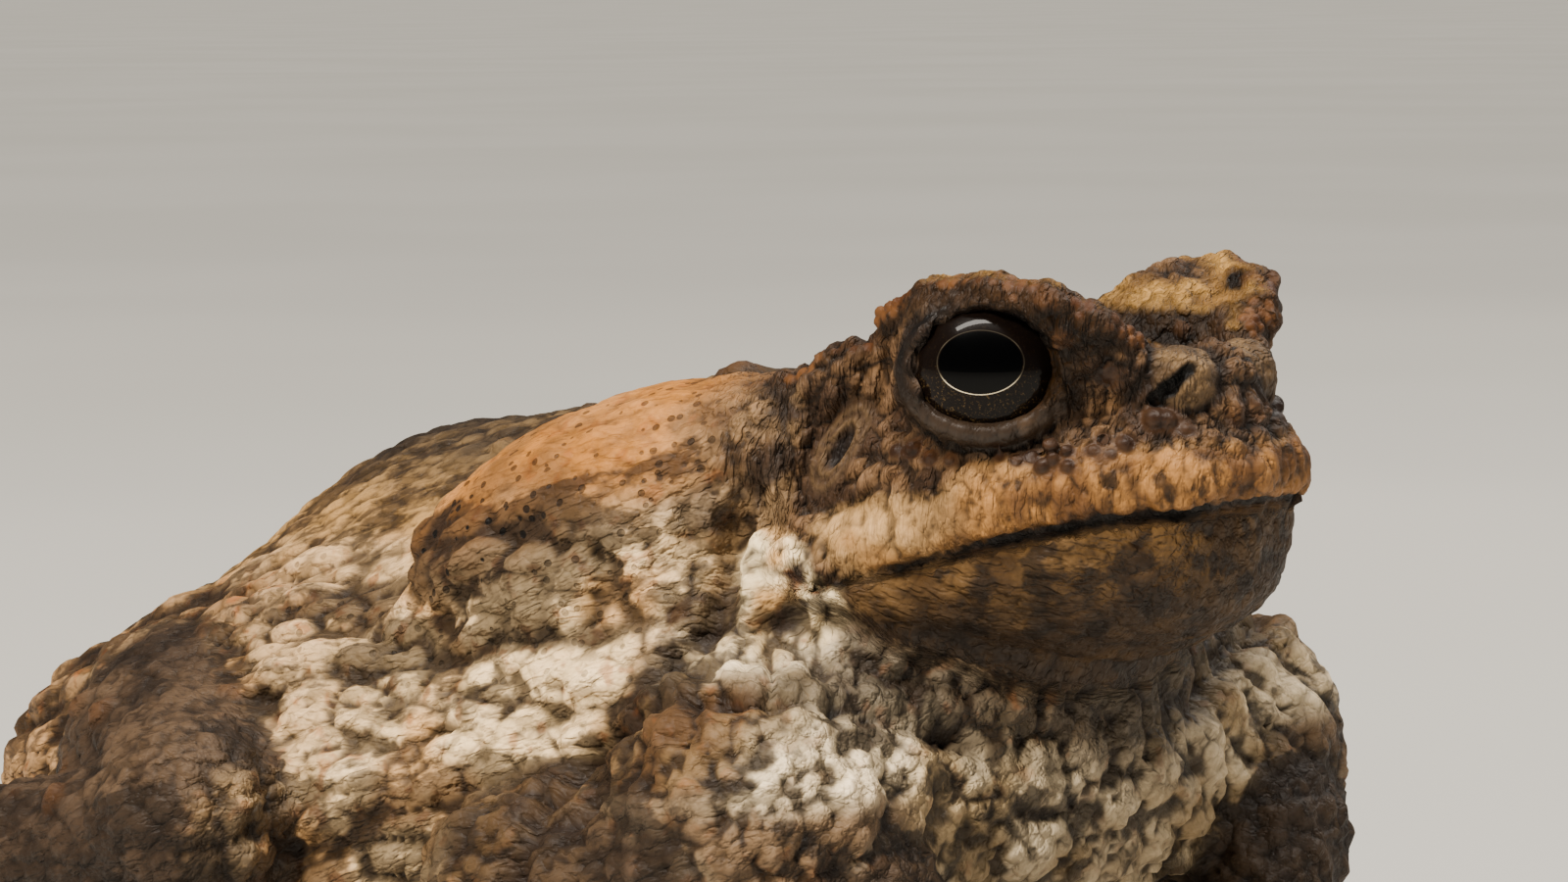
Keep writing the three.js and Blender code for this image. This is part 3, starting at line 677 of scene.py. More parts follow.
class Skin:
    """Heights and colours gathered point by point, each call for the points where its weight counts."""

    def __init__(self, points):
        self.points = points
        self.height = np.zeros(len(points))
        # Painted light and shade of the grains: above nought a painted highlight on their tops, below it
        # painted shade in their gaps
        self.tops = np.zeros(len(points))
        self.blotch = np.full(len(points), -1.0)
        self.ground = np.zeros((len(points), 3))

    def press(self, weight, pattern, amount, shade):
        """Adds a pattern less a half, times the weight and a height in millimetres, and a share of it
        to the painted light and shade of the grains: a painted highlight on their tops and painted shade
        in their gaps."""
        some = weight > 0.01
        if some.any():
            value = weight[some] * (pattern(self.points[some]) - 0.5)
            self.height[some] += value * amount
            self.tops[some] += value * shade

    def tint(self, weight, *codes, period=9.0, seed=61, at=0.0, soft=0.12):
        """Lays a colour, or two of them in patches of noise, over what is there: the old colour plus
        the weight times the difference."""
        some = weight > 0.004
        colour = np.tile(linear(codes[0])[:3], (some.sum(), 1))
        if len(codes) == 2:
            share = step(at - soft, at + soft, octaves(self.points[some], period, seed))
            colour += share[:, None] * (np.array(linear(codes[1])[:3]) - colour)
        self.ground[some] += weight[some, None] * (colour - self.ground[some])

    def spot(self, weight, lie, stretch, period, at, seed):
        """Marks blotches: noise over a threshold, long in the lie of the skin."""
        some = weight > 0.01
        value = octaves(laid(self.points[some], lie, stretch), period, seed) - at
        self.blotch[some] += weight[some] * (value + 1)


def regions(q, normal):
    """Weights from 0 to 1 of the parts of the hide at mirrored points: products of smooth steps over
    the distance forms and over x outwards, y backwards and z upwards."""
    x, y, z = q.T
    w = {}
    w["gland"] = step(2.2, -1.2, parotoid(q))
    w["arm"] = step(1.6, 0.1, np.minimum(forearm(q), upper_arm(q))) * step(-10, -22, y)
    w["forearm"] = w["arm"] * step(1.0, -0.5, forearm(q) - upper_arm(q))
    w["elbow"] = step(35, 32, z) * step(20, 27, x) * step(-32, -37, y)
    w["shoulder"] = step(9, 5, to_path(q, SHOULDER)) * step(-48, -42, y)
    w["leg"] = step(1.8, 0.2, np.minimum(thigh(q), np.minimum(shank(q), ankle(q)))) * step(2, 8, y)
    w["paws"] = step(1.2, 0.2, np.minimum(hand(q), foot(q)))
    head = step(2.5, -1.5, skull(q) - trunk(q)) * (1 - w["gland"])
    w["jaw"] = head * step(mouth_height(y) + 0.2, mouth_height(y) - 0.7, z)
    w["lip"] = head * step(1.3, 0.3, rope(q, LIP, LIP_RADII)) * (1 - w["jaw"]) * step(63, 61.8, z)
    w["bulb"] = step(1.0, 0.1, np.minimum(ellipsoid(q, **JAW_GLAND), ellipsoid(q, **JAW_LOBE)))
    w["neck"] = step(-35.5, -33.5, y) * step(-26, -28.5, y) * step(51, 55, z) * step(68, 65, z)
    w["neck"] *= 1 - w["gland"]
    w["lid"] = step(0.5, 0.1, lid_rope(q))
    w["nose"] = step(1.1, 0.3, ellipsoid(q, **NOSTRIL_DOME)) * head
    w["shelf"] = step(0.8, 0.1, brow(q)) * head
    w["face"] = head * (1 - w["jaw"]) * (1 - w["lip"])
    w["head"] = head
    w["under"] = step(20, 9, z) * step(0.0, -0.6, normal[:, 2])
    trunk_skin = (1 - head) * (1 - w["leg"]) * (1 - w["paws"]) * (1 - w["arm"])
    w["chest"] = step(-24, -34, y) * step(50, 45, z) * trunk_skin * (1 - w["gland"])
    low = step(57.4, 51.4, z + 0.047 * y)
    w["flank"] = step(18, 30, x + 0.4 * (44 - z)) * low * trunk_skin * (1 - w["chest"])
    w["trunk"] = trunk_skin
    w["back"] = trunk_skin * (1 - low) * (1 - w["gland"])
    w["throat"] = w["chest"] * step(33, 40, z + 0.25 * (-x + 18)) * step(-36, -44, y)
    return w


def skin_space(points, w, stretch):
    """The space in which the fine patterns are read: drawn out along the body and the jaw, and upright
    on the face, where it is finer too. The face's is stretched about the lip's upper edge and from the
    neck, and the body's about the neck, so that they meet there."""
    y, z = points[:, 1], points[:, 2]
    edge = mouth_height(y) + 4
    face = np.stack([points[:, 0], -30 + 1.5 * (y + 30), edge + 1.3 * (z - edge) / stretch], 1)
    space = laid(points, GRAIN_LIE, stretch)
    space += w["head"][:, None] * (face - space)
    return space + w["jaw"][:, None] * (laid(points, JAW_LIE, stretch) - space)


def dress_skin(points, normal):
    """Heights in millimetres, ground colours with painted shade in some places, the other weights that
    the material reads, among them painted light and shade for the grains and folds, and the two
    spaces in which it reads its fine patterns."""
    q = mirrored(points)
    x, y, z = q.T
    w = regions(q, normal)
    skin = Skin(points)
    low_back = w["trunk"] * (1 - w["chest"]) * (1 - w["gland"])

    # Folds and grains of each part: weight, lie, stretch, width, height, seed, share in the painted light
    # and shade of tops and gaps
    for weight, lie, stretch, width, amount, seed, shade in (
            (w["flank"], FLANK_LIE, 2.8, 6.5, 1.6, 31, 0.5),
            (w["flank"], FLANK_LIE, 2.2, 3.0, 1.1, 11, 1.0),
            (w["chest"], CHEST_LIE, 3.2, 5.0, 1.3, 32, 0.6),
            (w["chest"], CHEST_LIE, 2.1, 2.1, 0.8, 12, 1.0),
            (low_back * (1 - w["flank"]), FLANK_LIE, 1.8, 2.4, 0.5, 23, 0.7),
            (w["neck"], NECK_LIE, 5.0, 2.3, 1.4, 15, 1.0),
            (w["lip"] * (1 - w["neck"]), LIP_LIE, 3.0, 1.6, 0.5, 16, 0.7),
            (w["face"] * (1 - w["shelf"]) * (1 - w["neck"]) * (1 - 0.7 * w["nose"]),
             CHEEK_LIE, 2.3, 1.7, 0.95, 17, 1.2),
            (w["jaw"], JAW_LIE, 2.2, 1.9, 0.35, 18, 0.6),
            (w["shelf"], JAW_LIE, 1.0, 1.5, 0.4, 19, 0.7),
            (w["gland"], FLANK_LIE, 2.4, 2.6, 0.4, 20, 0.5),
            (w["gland"], FLANK_LIE, 2.2, 7.0, 0.7, 26, 0.2),
            (w["arm"], ARM_LIE, 1.3, 2.6, 1.1, 13, 0.9),
            (w["leg"], JAW_LIE, 1.0, 2.4, 0.6, 21, 0.7),
            (w["paws"], JAW_LIE, 1.0, 1.5, 0.25, 22, 0.6),
            (w["under"], JAW_LIE, 1.0, 1.9, 0.3, 24, 0.5)):
        skin.press(weight, lambda p: cobbles(laid(p, lie, stretch), width, seed), amount, shade)

    # Warts, wide apart on the back and legs and close on the cheek: weight, spacing, least and
    # greatest radius, height, seed, share of the cells that have one
    wart = np.zeros(len(points))
    cheek = w["face"] * (1 - w["shelf"]) * (1 - w["lid"]) * step(66.5, 64.5, z) * step(-37, -42, y)
    for weight, spacing, least, most, tall, seed, share in (
            (w["back"], 8.0, 1.1, 2.8, 1.3, 41, 0.75), (w["leg"], 6.5, 0.8, 2.0, 1.0, 42, 0.7),
            (w["flank"], 9.0, 0.8, 1.9, 0.7, 43, 0.5), (cheek, 2.9, 0.7, 1.3, 0.7, 44, 0.6),
            (w["shelf"], 3.2, 0.6, 1.3, 0.5, 45, 0.6)):
        some = weight > 0.01
        bump = weight[some] * bumps(points[some], spacing, least, most, seed, share)
        skin.height[some] += bump * tall
        wart[some] = np.maximum(wart[some], bump)

    # Folds, each a groove with rounded sides: bell curves of the distance to its path
    # The grooves' weights are gathered too, for painted shade in the folds
    fold_shade = np.zeros(len(points))
    for path, depth, width in FOLDS:
        d = to_path(q, path)
        groove = np.exp(-(d / width) ** 2)
        skin.height += 0.35 * depth * np.exp(-((d - 2.6 * width) / (1.3 * width)) ** 2) - depth * groove
        fold_shade = np.maximum(fold_shade, groove)

    # The ear drum: an oval sunk inside a raised ring, and a fainter ring about it
    centre = on_skin_from(*EAR_DRUM)
    ring = np.hypot(y - centre[1] + 0.3 * (z - centre[2]), (z - centre[2]) / 1.9)
    ear = step(2.8, 1.9, ring) * step(6, 10, x)
    rim = np.exp(-((ring - 1.2) / 0.18) ** 2) + 0.7 * np.exp(-((ring - 1.8) / 0.2) ** 2)
    skin.height = skin.height * (1 - 0.7 * ear) + ear * (0.3 * rim - 0.4 * step(1.0, 0.75, ring))
    # A hollow round the nostril's dome
    hollow = np.exp(-((ellipsoid(q, **NOSTRIL_DOME) - 0.75) / 0.4) ** 2) * w["face"] * (1 - w["shelf"])
    skin.height -= 0.35 * hollow

    lid, shelf = w["lid"], w["shelf"]
    rim_bead = step(0.3, 0.0, rim_beads(q)) * w["head"]
    dark_bead = step(0.6, 0.1, dark_beads(q)) * w["head"]
    beads = np.maximum(rim_bead, dark_bead)
    mouth_line_shade = step(0.35, 0.0, mouth(q)) * w["head"]
    height = skin.height * (1 - beads) * (1 - lid) * step(0.1, 1.6, z)

    # Ground colours, laid one over another: the trunk and legs first, then the gland and the face. Some of
    # them are painted shade and painted light, each marked where it is laid.
    skin.tint(np.ones(len(points)), "403324", "675135", period=9, seed=61, at=0.02, soft=0.07)
    skin.tint(low_back * (1 - w["back"]), "7c5f41", "a47d4b", period=7, seed=63)
    skin.tint(w["flank"], "efcb97", "d5a56e", period=6, seed=65, at=0.06)
    skin.tint(w["flank"] * (0.6 * step(-8, 12, y) + 0.35 * step(14, 32, y)), "a07950", "7a5a39",
              period=6, seed=133)
    skin.tint(w["leg"], "3a2c20", "503e2d", period=8, seed=67)
    skin.tint(w["under"], "cdb48c", "a68963", period=7, seed=69)
    skin.tint(w["chest"], "efd6ad", "b79b70", period=5, seed=71, at=0.05)
    # Painted shade: the throat under the jaw dark grey-brown
    skin.tint(w["throat"] * 0.9, "392f27", "241d17", period=5, seed=73)
    skin.tint(w["shoulder"] * w["trunk"], "725839", "503821", period=4, seed=127)
    # Painted shade: the front of the chest under the jaw a little darker
    skin.tint(w["chest"] * step(-38, -50, y) * step(24, 14, x) * 0.3, "6b5844", "46382b",
              period=5, seed=129)
    skin.tint(w["elbow"] * w["trunk"], "6f573e", "57432e", period=4, seed=131)
    skin.tint(w["arm"], "302319", "46331e", period=4, seed=75)
    skin.tint(w["forearm"] * 0.6, "443527")
    skin.tint(w["paws"], "594532", "715c41", period=5, seed=77)
    rise = z - 56.6 + 0.4 * (y + 14.5)
    upper = step(-8, 3, rise)
    skin.tint(w["gland"], "b1906b", "8c6842", period=5, seed=79)
    skin.tint(w["gland"] * upper, "bf7624", "885521", period=7, seed=81, at=0.06)
    skin.tint(w["gland"] * step(-3.5, -7, rise), "efd0a7", "d6aa7a", period=4, seed=109)
    skin.tint(w["face"], "3a281a", "6a4e34", period=2.2, seed=83)
    skin.tint(w["nose"], "785e40", "55412c", period=2.2, seed=107)
    skin.tint(w["neck"], "896c4b", "33271e", period=2.4, seed=85)
    front = step(-44, -56, y)
    skin.tint(w["jaw"], "604627", "48331c", period=3, seed=87)
    # Painted shade: the lower part of the jaw darkened under the lip, less at the front
    skin.tint(w["jaw"] * step(mouth_height(y) - 2, mouth_height(y) - 7, z) * (1 - 0.6 * front), "292019")
    skin.tint(w["lip"], "be9460", "9a7041", period=4, seed=89)
    skin.tint(w["lip"] * front, "a06f3b", "644223", period=3, seed=91, at=0.05)
    skin.tint(w["bulb"] * (1 - w["lip"]), "f2d6a6", "d6a468", period=4, seed=93, at=0.08)
    top = step(0.7, 0.93, normal[:, 2])
    # Partly painted shade: the socket round the eye dark brown, deepened as the shade in that recess
    orbit_shade = step(2.8, 1.2, lid_rope(q)) * w["head"] * (1 - w["lip"])
    skin.tint(orbit_shade * (1 - shelf), "241911", "403022", period=2, seed=105)
    # Partly painted shade: the brow shelf near black, its own brown deepened as the shade under its
    # overhang
    skin.tint(shelf, "120903", "251709", period=2.4, seed=95)
    # Partly painted light: the shelf's upward-facing top paler, along with its own ochre
    skin.tint(shelf * top, "b48747", "7c592c", period=3, seed=97, at=0.03)
    skin.tint(ear, "3a2a1e")
    skin.tint(ear * np.clip(rim, 0, 1), "5e4830")
    skin.tint(ear * step(0.95, 0.7, ring), "1b1410")
    # Painted shade in the hollow round the nostril's dome
    skin.tint(hollow, "241912")
    # Partly painted shade: the lids near black, their own dark brown deepened as the brow's shadow on the
    # upper lid and sides; the lower lid keeps a lighter brown
    skin.tint(lid, "0d0907", "1c1510", period=2.5, seed=99)
    skin.tint(lid * step(67, 64, z), "453527", "31261d", period=2.5, seed=99)
    # Painted shade at the rim beads' feet and between them
    skin.tint(step(1.0, 0.3, rim_beads(q)) * w["head"] * 0.7, "3a2614")
    skin.tint(dark_bead, "2a190e", "3a2617", period=1.5, seed=101)
    skin.tint(rim_bead, "442610", "5e3b1e", period=2.5, seed=103)
    # Painted shade: the mouth's line near black, as the shadow under the lip
    skin.tint(mouth_line_shade, "120b07")
    # Painted shade: the nostril's slit black inside
    skin.tint(step(0.3, 0.0, slit(q)) * w["head"], "050302")
    for place, radius in GLAND_SPOTS:
        skin.tint(step(1.3, 0.6, np.linalg.norm(q - place, axis=1) / radius), "45382c")

    # Blotches: weight, lie, stretch, period, threshold, seed
    skin.spot(w["flank"], FLANK_LIE, 2.2, 4.2, 0.07, 111)
    skin.spot(low_back * (1 - w["flank"]) * (1 - w["under"]), FLANK_LIE, 1.7, 6.0, 0.03, 113)
    skin.spot(w["chest"] * (1 - w["throat"]), CHEST_LIE, 1.4, 3.2, 0.12, 115)
    skin.spot(w["gland"] * (1 - 0.3 * step(-1, 5, rise)), FLANK_LIE, 2.2, 3.2, 0.07, 117)
    skin.spot(w["leg"], JAW_LIE, 0.8, 6.5, 0.05, 119)
    skin.spot(w["jaw"] * (1 - lid), JAW_LIE, 1.0, 2.6, 0.04, 121)
    skin.spot(w["arm"], ARM_LIE, 1.0, 3.6, 0.14, 123)
    skin.spot(w["lip"] * front, JAW_LIE, 1.0, 2.2, 0.2, 125)

    covered = beads + lid + ear + shelf + mouth_line_shade
    wrinkled = (0.35 + 0.5 * w["face"] + 0.5 * w["neck"] + 0.3 * w["jaw"] + 0.25 * w["gland"]
                + 0.2 * w["flank"] - 0.8 * lid - beads - 0.3 * ear)
    grain = (1 - 0.8 * w["gland"] * (0.4 + 0.6 * upper) - 0.5 * w["jaw"] - 0.5 * w["lip"] - 0.7 * lid
             - 0.8 * beads - 0.6 * ear - 0.5 * w["bulb"] - 0.5 * w["nose"])
    rust = np.clip(w["flank"] + w["gland"] + w["bulb"] + 0.4 * w["chest"], 0, 1)
    read = {
        # painted highlight on the grains' tops and painted shade in their gaps, none where the skin is
        # covered
        "relief_painted_light": np.clip(0.5 + skin.tops * (1 - np.clip(covered, 0, 1)), 0, 1),
        "blotch": skin.blotch - np.clip(covered, 0, 1),
        # painted shade in the folds, not on the head except at the neck
        "fold_shade": fold_shade * (1 - w["head"] * (1 - w["neck"])),
        "wart": wart,
        "wrinkled": np.clip(wrinkled, 0, 1),
        "pore": w["gland"] + 0.5 * w["flank"] * step(30, 44, z),
        "grain": np.clip(grain, 0.05, 1),
        "wet": np.clip(0.45 * lid + 0.35 * dark_bead + 0.15 * rim_bead, 0, 1),
        "rust": rust * (1 - w["head"] * (1 - w["bulb"])),
    }
    return height, skin.ground, read, skin_space(points, w, 1.5), skin_space(points, w, 3.2)


# Materials: every node tree is put together by these few makers

def linear(code):
    """Linear colour of a six-figure web colour, by the standard display curve."""
    parts = [int(code[i:i + 2], 16) / 255 for i in (0, 2, 4)]
    return [p / 12.92 if p <= 0.04045 else ((p + 0.055) / 1.055) ** 2.4 for p in parts] + [1.0]


class Finish:
    """A material's node tree, built up call by call. The calls after feed return the output that they
    make."""

    def __init__(self, name):
        self.material = bpy.data.materials.new(name)
        self.material.use_nodes = True
        self.tree = self.material.node_tree
        self.shader = self.tree.nodes["Principled BSDF"]
        self.place = self.make("ShaderNodeTexCoord").outputs["Object"]

    def make(self, kind, **settings):
        """A node of a kind, with its settings."""
        node = self.tree.nodes.new(kind)
        for key, value in settings.items():
            setattr(node, key, value)
        return node

    def feed(self, socket, value):
        """Links an output to the socket, or sets a plain value on it."""
        if isinstance(value, bpy.types.NodeSocket):
            self.tree.links.new(value, socket)
        else:
            socket.default_value = value

    def read(self, name, output="Fac"):
        """A number, vector or colour painted on the mesh under a name."""
        return self.make("ShaderNodeAttribute", attribute_name=name).outputs[output]

    def noise(self, vector, scale, detail, rough):
        """Cloudy noise from 0 to 1, so many patches to the metre."""
        node = self.make("ShaderNodeTexNoise")
        self.feed(node.inputs["Vector"], vector)
        for key, value in (("Scale", scale), ("Detail", detail), ("Roughness", rough)):
            node.inputs[key].default_value = value
        return node.outputs["Fac"]

    def cells(self, vector, scale):
        """Distance to the nearest random point, in units of one over the scale."""
        node = self.make("ShaderNodeTexVoronoi", feature="F1")
        self.feed(node.inputs["Vector"], vector)
        node.inputs["Scale"].default_value = scale
        return node.outputs["Distance"]

    def math(self, kind, a, b=0.0, clamp=False):
        """One sum of two values, kept from 0 to 1 if clamped."""
        node = self.make("ShaderNodeMath", operation=kind, use_clamp=clamp)
        self.feed(node.inputs[0], a)
        self.feed(node.inputs[1], b)
        return node.outputs[0]

    def times(self, a, b):
        return self.math("MULTIPLY", a, b)

    def plus(self, a, b):
        return self.math("ADD", a, b)

    def less(self, a, b, clamp=False):
        return self.math("SUBTRACT", a, b, clamp=clamp)

    def span(self, value, low, high, to_low=0.0, to_high=1.0):
        """Smooth step of a value between low and high, stretched to other limits."""
        node = self.make("ShaderNodeMapRange", interpolation_type="SMOOTHSTEP")
        for index, item in enumerate((value, low, high, to_low, to_high)):
            self.feed(node.inputs[index], item)
        return node.outputs[0]

    def mix(self, share, a, b):
        """Colour a with a share of colour b over it. The node's colour sockets are its 6 and 7."""
        node = self.make("ShaderNodeMix", data_type="RGBA")
        for key, value in ((0, share), (6, a), (7, b)):
            self.feed(node.inputs[key], value)
        return node.outputs[2]

    def shade(self, colour, saturation, value):
        """The colour with its saturation and its brightness multiplied."""
        node = self.make("ShaderNodeHueSaturation")
        node.inputs["Saturation"].default_value = saturation
        node.inputs["Value"].default_value = value
        self.feed(node.inputs["Color"], colour)
        return node.outputs["Color"]

    def bump(self, height, distance):
        """The normal of a height, as if a height of one stood so many metres out."""
        node = self.make("ShaderNodeBump")
        node.inputs["Strength"].default_value = 1.0
        node.inputs["Distance"].default_value = distance
        self.feed(node.inputs["Height"], height)
        return node.outputs["Normal"]


def hide_finish():
    """The hide: its own ground colours, some of them painted shade, with a cloud of tone and of rust,
    dark blotches with ragged edges, painted shade in the gaps, creases and folds and a painted highlight
    on the tops of the grains, brown warts, black pores on the gland, a speckle, and a bump of fine grains,
    pores and creases; wet on lids and beads. A fine grain is a dome: one less 1.7 times the squared
    distance to the nearest random point."""
    f = Finish("hide")
    lie = f.read("lie", "Vector")
    read = {name: f.read(name) for name in (
        "relief_painted_light", "blotch", "fold_shade", "wart", "pore", "grain", "wet", "rust", "wrinkled")}
    wrinkle = f.noise(f.read("wrinkle_lie", "Vector"), 900, 2, 0.5)
    crease = f.span(f.math("ABSOLUTE", f.less(wrinkle, 0.5)), 0.0, 0.11, 1.0, 0.0)
    crease = f.times(crease, read["wrinkled"])
    ragged = f.noise(lie, 620, 3, 0.6)
    fine = f.noise(f.place, 2100, 1, 0.6)
    stray = f.make("ShaderNodeVectorMath", operation="ADD")
    f.feed(stray.inputs[0], lie)
    f.feed(stray.inputs[1], f.times(ragged, 0.0016))
    grains_at = stray.outputs[0]
    away = f.cells(grains_at, 640)
    dome = f.less(1.0, f.times(f.times(away, away), 1.7), clamp=True)
    pit = f.times(f.span(f.cells(f.place, 640), 0.25, 0.2), read["pore"])

    colour = f.read("ground", "Color")
    tone = f.span(ragged, 0.3, 0.7, 0.0, 0.35)
    colour = f.mix(tone, colour, f.shade(colour, 1.0, 0.72))
    rust = f.times(f.span(f.noise(f.place, 480, 2, 0.5), 0.55, 0.7, 0.0, 0.6), read["rust"])
    colour = f.mix(rust, colour, linear("8a4a1a"))
    edge = f.plus(read["blotch"], f.times(f.less(ragged, 0.5), 0.5))
    edge = f.plus(edge, f.times(f.less(wrinkle, 0.5), 0.4))
    dark = f.mix(0.5, linear("2c2118"), f.shade(colour, 1.0, 0.3))
    colour = f.mix(f.span(edge, -0.06, 0.1, 0.0, 0.92), colour, dark)
    # Painted shade in the gaps between the grains
    gap = f.span(read["relief_painted_light"], 0.48, 0.08, 0.0, 0.88)
    colour = f.mix(gap, colour, linear("21170f"))
    # Painted shade in the gaps between the fine grains
    fine_gap = f.times(f.span(dome, 0.6, 0.0, 0.0, 0.6), read["grain"])
    colour = f.mix(fine_gap, colour, f.shade(colour, 1.1, 0.3))
    # Painted shade in the creases
    colour = f.mix(f.times(crease, 0.3), colour, f.shade(colour, 1.1, 0.3))
    # Painted highlight on the grains' tops
    colour = f.mix(f.span(read["relief_painted_light"], 0.6, 0.95, 0.0, 0.6), colour, f.shade(colour, 0.95, 1.35))
    colour = f.mix(f.times(read["wart"], 0.35), colour, linear("6b4526"))
    # Painted shade in the folds
    colour = f.mix(f.times(read["fold_shade"], 0.8), colour, linear("1c130e"))
    colour = f.mix(pit, colour, linear("0a0705"))
    colour = f.mix(f.span(fine, 0.4, 0.75, 0.0, 0.3), colour, f.shade(colour, 1.0, 0.55))
    f.feed(f.shader.inputs["Base Color"], colour)

    gloss = f.span(fine, 0.3, 0.7, 0.55, 0.72)
    gloss = f.less(gloss, f.times(read["wet"], 0.38))
    f.feed(f.shader.inputs["Roughness"], gloss)
    f.shader.inputs["Specular IOR Level"].default_value = 0.35
    grain = f.times(dome, read["grain"])
    height = f.plus(f.times(grain, 0.9), f.times(ragged, 0.35))
    height = f.less(height, f.times(pit, 0.35))
    height = f.less(height, f.times(crease, 0.42))
    height = f.plus(height, f.times(fine, 0.12))
    f.feed(f.shader.inputs["Normal"], f.bump(height, 0.0005))
    return f.material


def eye_finish():
    """The eye: a black pupil, longer than high and above the middle, in a thin pale gold ring that is
    brightest below and breaks off at the sides, and round it a black-brown iris flecked with gold in
    its lower half, under a wet clear coat. The pupil's edge is where its scaled distance is one."""
    f = Finish("eye")
    level, rise = (f.less(f.read(name), off) for name, off in zip(("eye_level", "eye_rise"), PUPIL_OFF))
    reach = f.make("ShaderNodeVectorMath", operation="LENGTH")
    join = f.make("ShaderNodeCombineXYZ")
    f.feed(join.inputs[0], f.math("DIVIDE", level, PUPIL_HALF[0]))
    f.feed(join.inputs[1], f.math("DIVIDE", rise, PUPIL_HALF[1]))
    f.feed(reach.inputs[0], join.outputs[0])
    ring = reach.outputs["Value"]
    flecks = f.span(f.noise(f.place, 4300, 4, 0.75), 0.55, 0.68)
    below = f.span(rise, 0.5, -3.2, 0.06, 0.9)
    iris = f.mix(f.times(flecks, below), linear("0d0806"), linear("5e4a2c"))
    edge = f.times(f.span(ring, 0.98, 0.988), f.span(ring, 1.012, 1.004))
    aside = f.span(f.math("ABSOLUTE", level), 2.6, 3.5, 1.0, 0.04)
    bright = f.times(f.span(rise, 2.0, -1.2, 0.03, 1.0), aside)
    colour = f.mix(f.times(edge, bright), iris, linear("e8d8b4"))
    colour = f.mix(f.span(ring, 0.97, 0.95), colour, linear("010101"))
    f.feed(f.shader.inputs["Base Color"], colour)
    for name, value in (("Roughness", 0.3), ("Specular IOR Level", 0.05), ("Coat Weight", 0.35),
                        ("Coat Roughness", 0.015), ("Coat IOR", 1.376)):
        f.shader.inputs[name].default_value = value
    return f.material


def floor_finish():
    """The floor: a pale dull grey with faint clouds."""
    f = Finish("floor")
    shade = f.span(f.noise(f.place, 3, 2, 0.55), 0.3, 0.7)
    f.feed(f.shader.inputs["Base Color"], f.mix(shade, linear("aeaba5"), linear("b3b0aa")))
    f.shader.inputs["Roughness"].default_value = 0.8
    return f.material


# Pieces

def mesh_piece(name, points, faces, material):
    """A smooth mesh object in metres, from points in millimetres."""
    mesh = bpy.data.meshes.new(name)
    mesh.vertices.add(len(points))
    mesh.vertices.foreach_set("co", ((points + ORIGIN) * MM).astype(np.float32).ravel())
    sides = faces.shape[1]
    mesh.loops.add(faces.size)
    mesh.loops.foreach_set("vertex_index", faces.astype(np.int32).ravel())
    mesh.polygons.add(len(faces))
    mesh.polygons.foreach_set("loop_start", np.arange(0, faces.size, sides, dtype=np.int32))
    mesh.update(calc_edges=True)
    mesh.polygons.foreach_set("use_smooth", np.ones(len(faces), bool))
    mesh.materials.append(material)
    mesh.validate()
    piece = bpy.data.objects.new(name, mesh)
    bpy.context.scene.collection.objects.link(piece)
    return piece


def paint(piece, name, values, kind="FLOAT"):
    """Writes one number, vector or colour a point into the piece's mesh."""
    layer = piece.data.attributes.new(name, kind, "POINT")
    slot = {"FLOAT": "value", "FLOAT_VECTOR": "vector", "FLOAT_COLOR": "color"}[kind]
    layer.data.foreach_set(slot, values.astype(np.float32).ravel())


def edge_size(places):
    """How long an edge may be: short on the face and its beads, longer behind, longest underneath and in
    the eye's socket. Each rule holds over those before it."""
    q = mirrored(places)
    y, z = q[:, 1], q[:, 2]

    def off(place):
        return np.linalg.norm(q - place, axis=1)
    size = np.full(len(q), 1.7)
    for where, edge in (
            ((z > 14) & (y < 42), 1.3), ((y < -30) & (z > 41), 0.9),
            (np.linalg.norm(q - EYE - unit(GAZE) * 4, axis=1) < 12, 0.65),
            ((y < -57) & (z > 54), 0.7), (off(NOSTRIL_DOME["centre"]) < 4.5, 0.5),
            (off(on_skin_from(*EAR_DRUM)) < 5.5, 0.5),
            (np.minimum(rim_beads(q), dark_beads(q)) < 0.35, 0.36),
            (off(EYE) < EYE_RADIUS, 2.0), (z < 3, 2.0)):
        size[where] = edge
    return size


def make_hide():
    """The hide: the flesh drawn, refined and settled, then moved along its normals by the skin's
    heights, but not below the floor, with the skin's colours and weights painted on its points."""
    points, faces = draw(flesh, DRAWING_LOW, DRAWING_HIGH, DRAWING_PITCH)
    points = settle(flesh, points, 2)
    for _ in range(REFINEMENTS):
        points, faces = refine(points, faces, edge_size)
        points = settle(flesh, relax(points, faces), 1)
    points = settle(flesh, relax(points, faces, 0.4), 2)
    normal = unit(gradient(flesh, points))
    height, ground, read, lie, wrinkle_lie = dress_skin(points, normal)
    points = points + normal * height[:, None]
    points[:, 2] = np.maximum(points[:, 2], 0)
    hide = mesh_piece("hide", points, faces, hide_finish())
    for name, values in read.items():
        paint(hide, name, values)
    paint(hide, "lie", lie * MM, "FLOAT_VECTOR")
    paint(hide, "wrinkle_lie", wrinkle_lie * MM, "FLOAT_VECTOR")
    opaque = np.ones((len(points), 1))
    paint(hide, "ground", np.concatenate([np.clip(ground, 0, 1), opaque], 1), "FLOAT_COLOR")
    print("hide", len(points), "points", len(faces), "faces")
    return hide


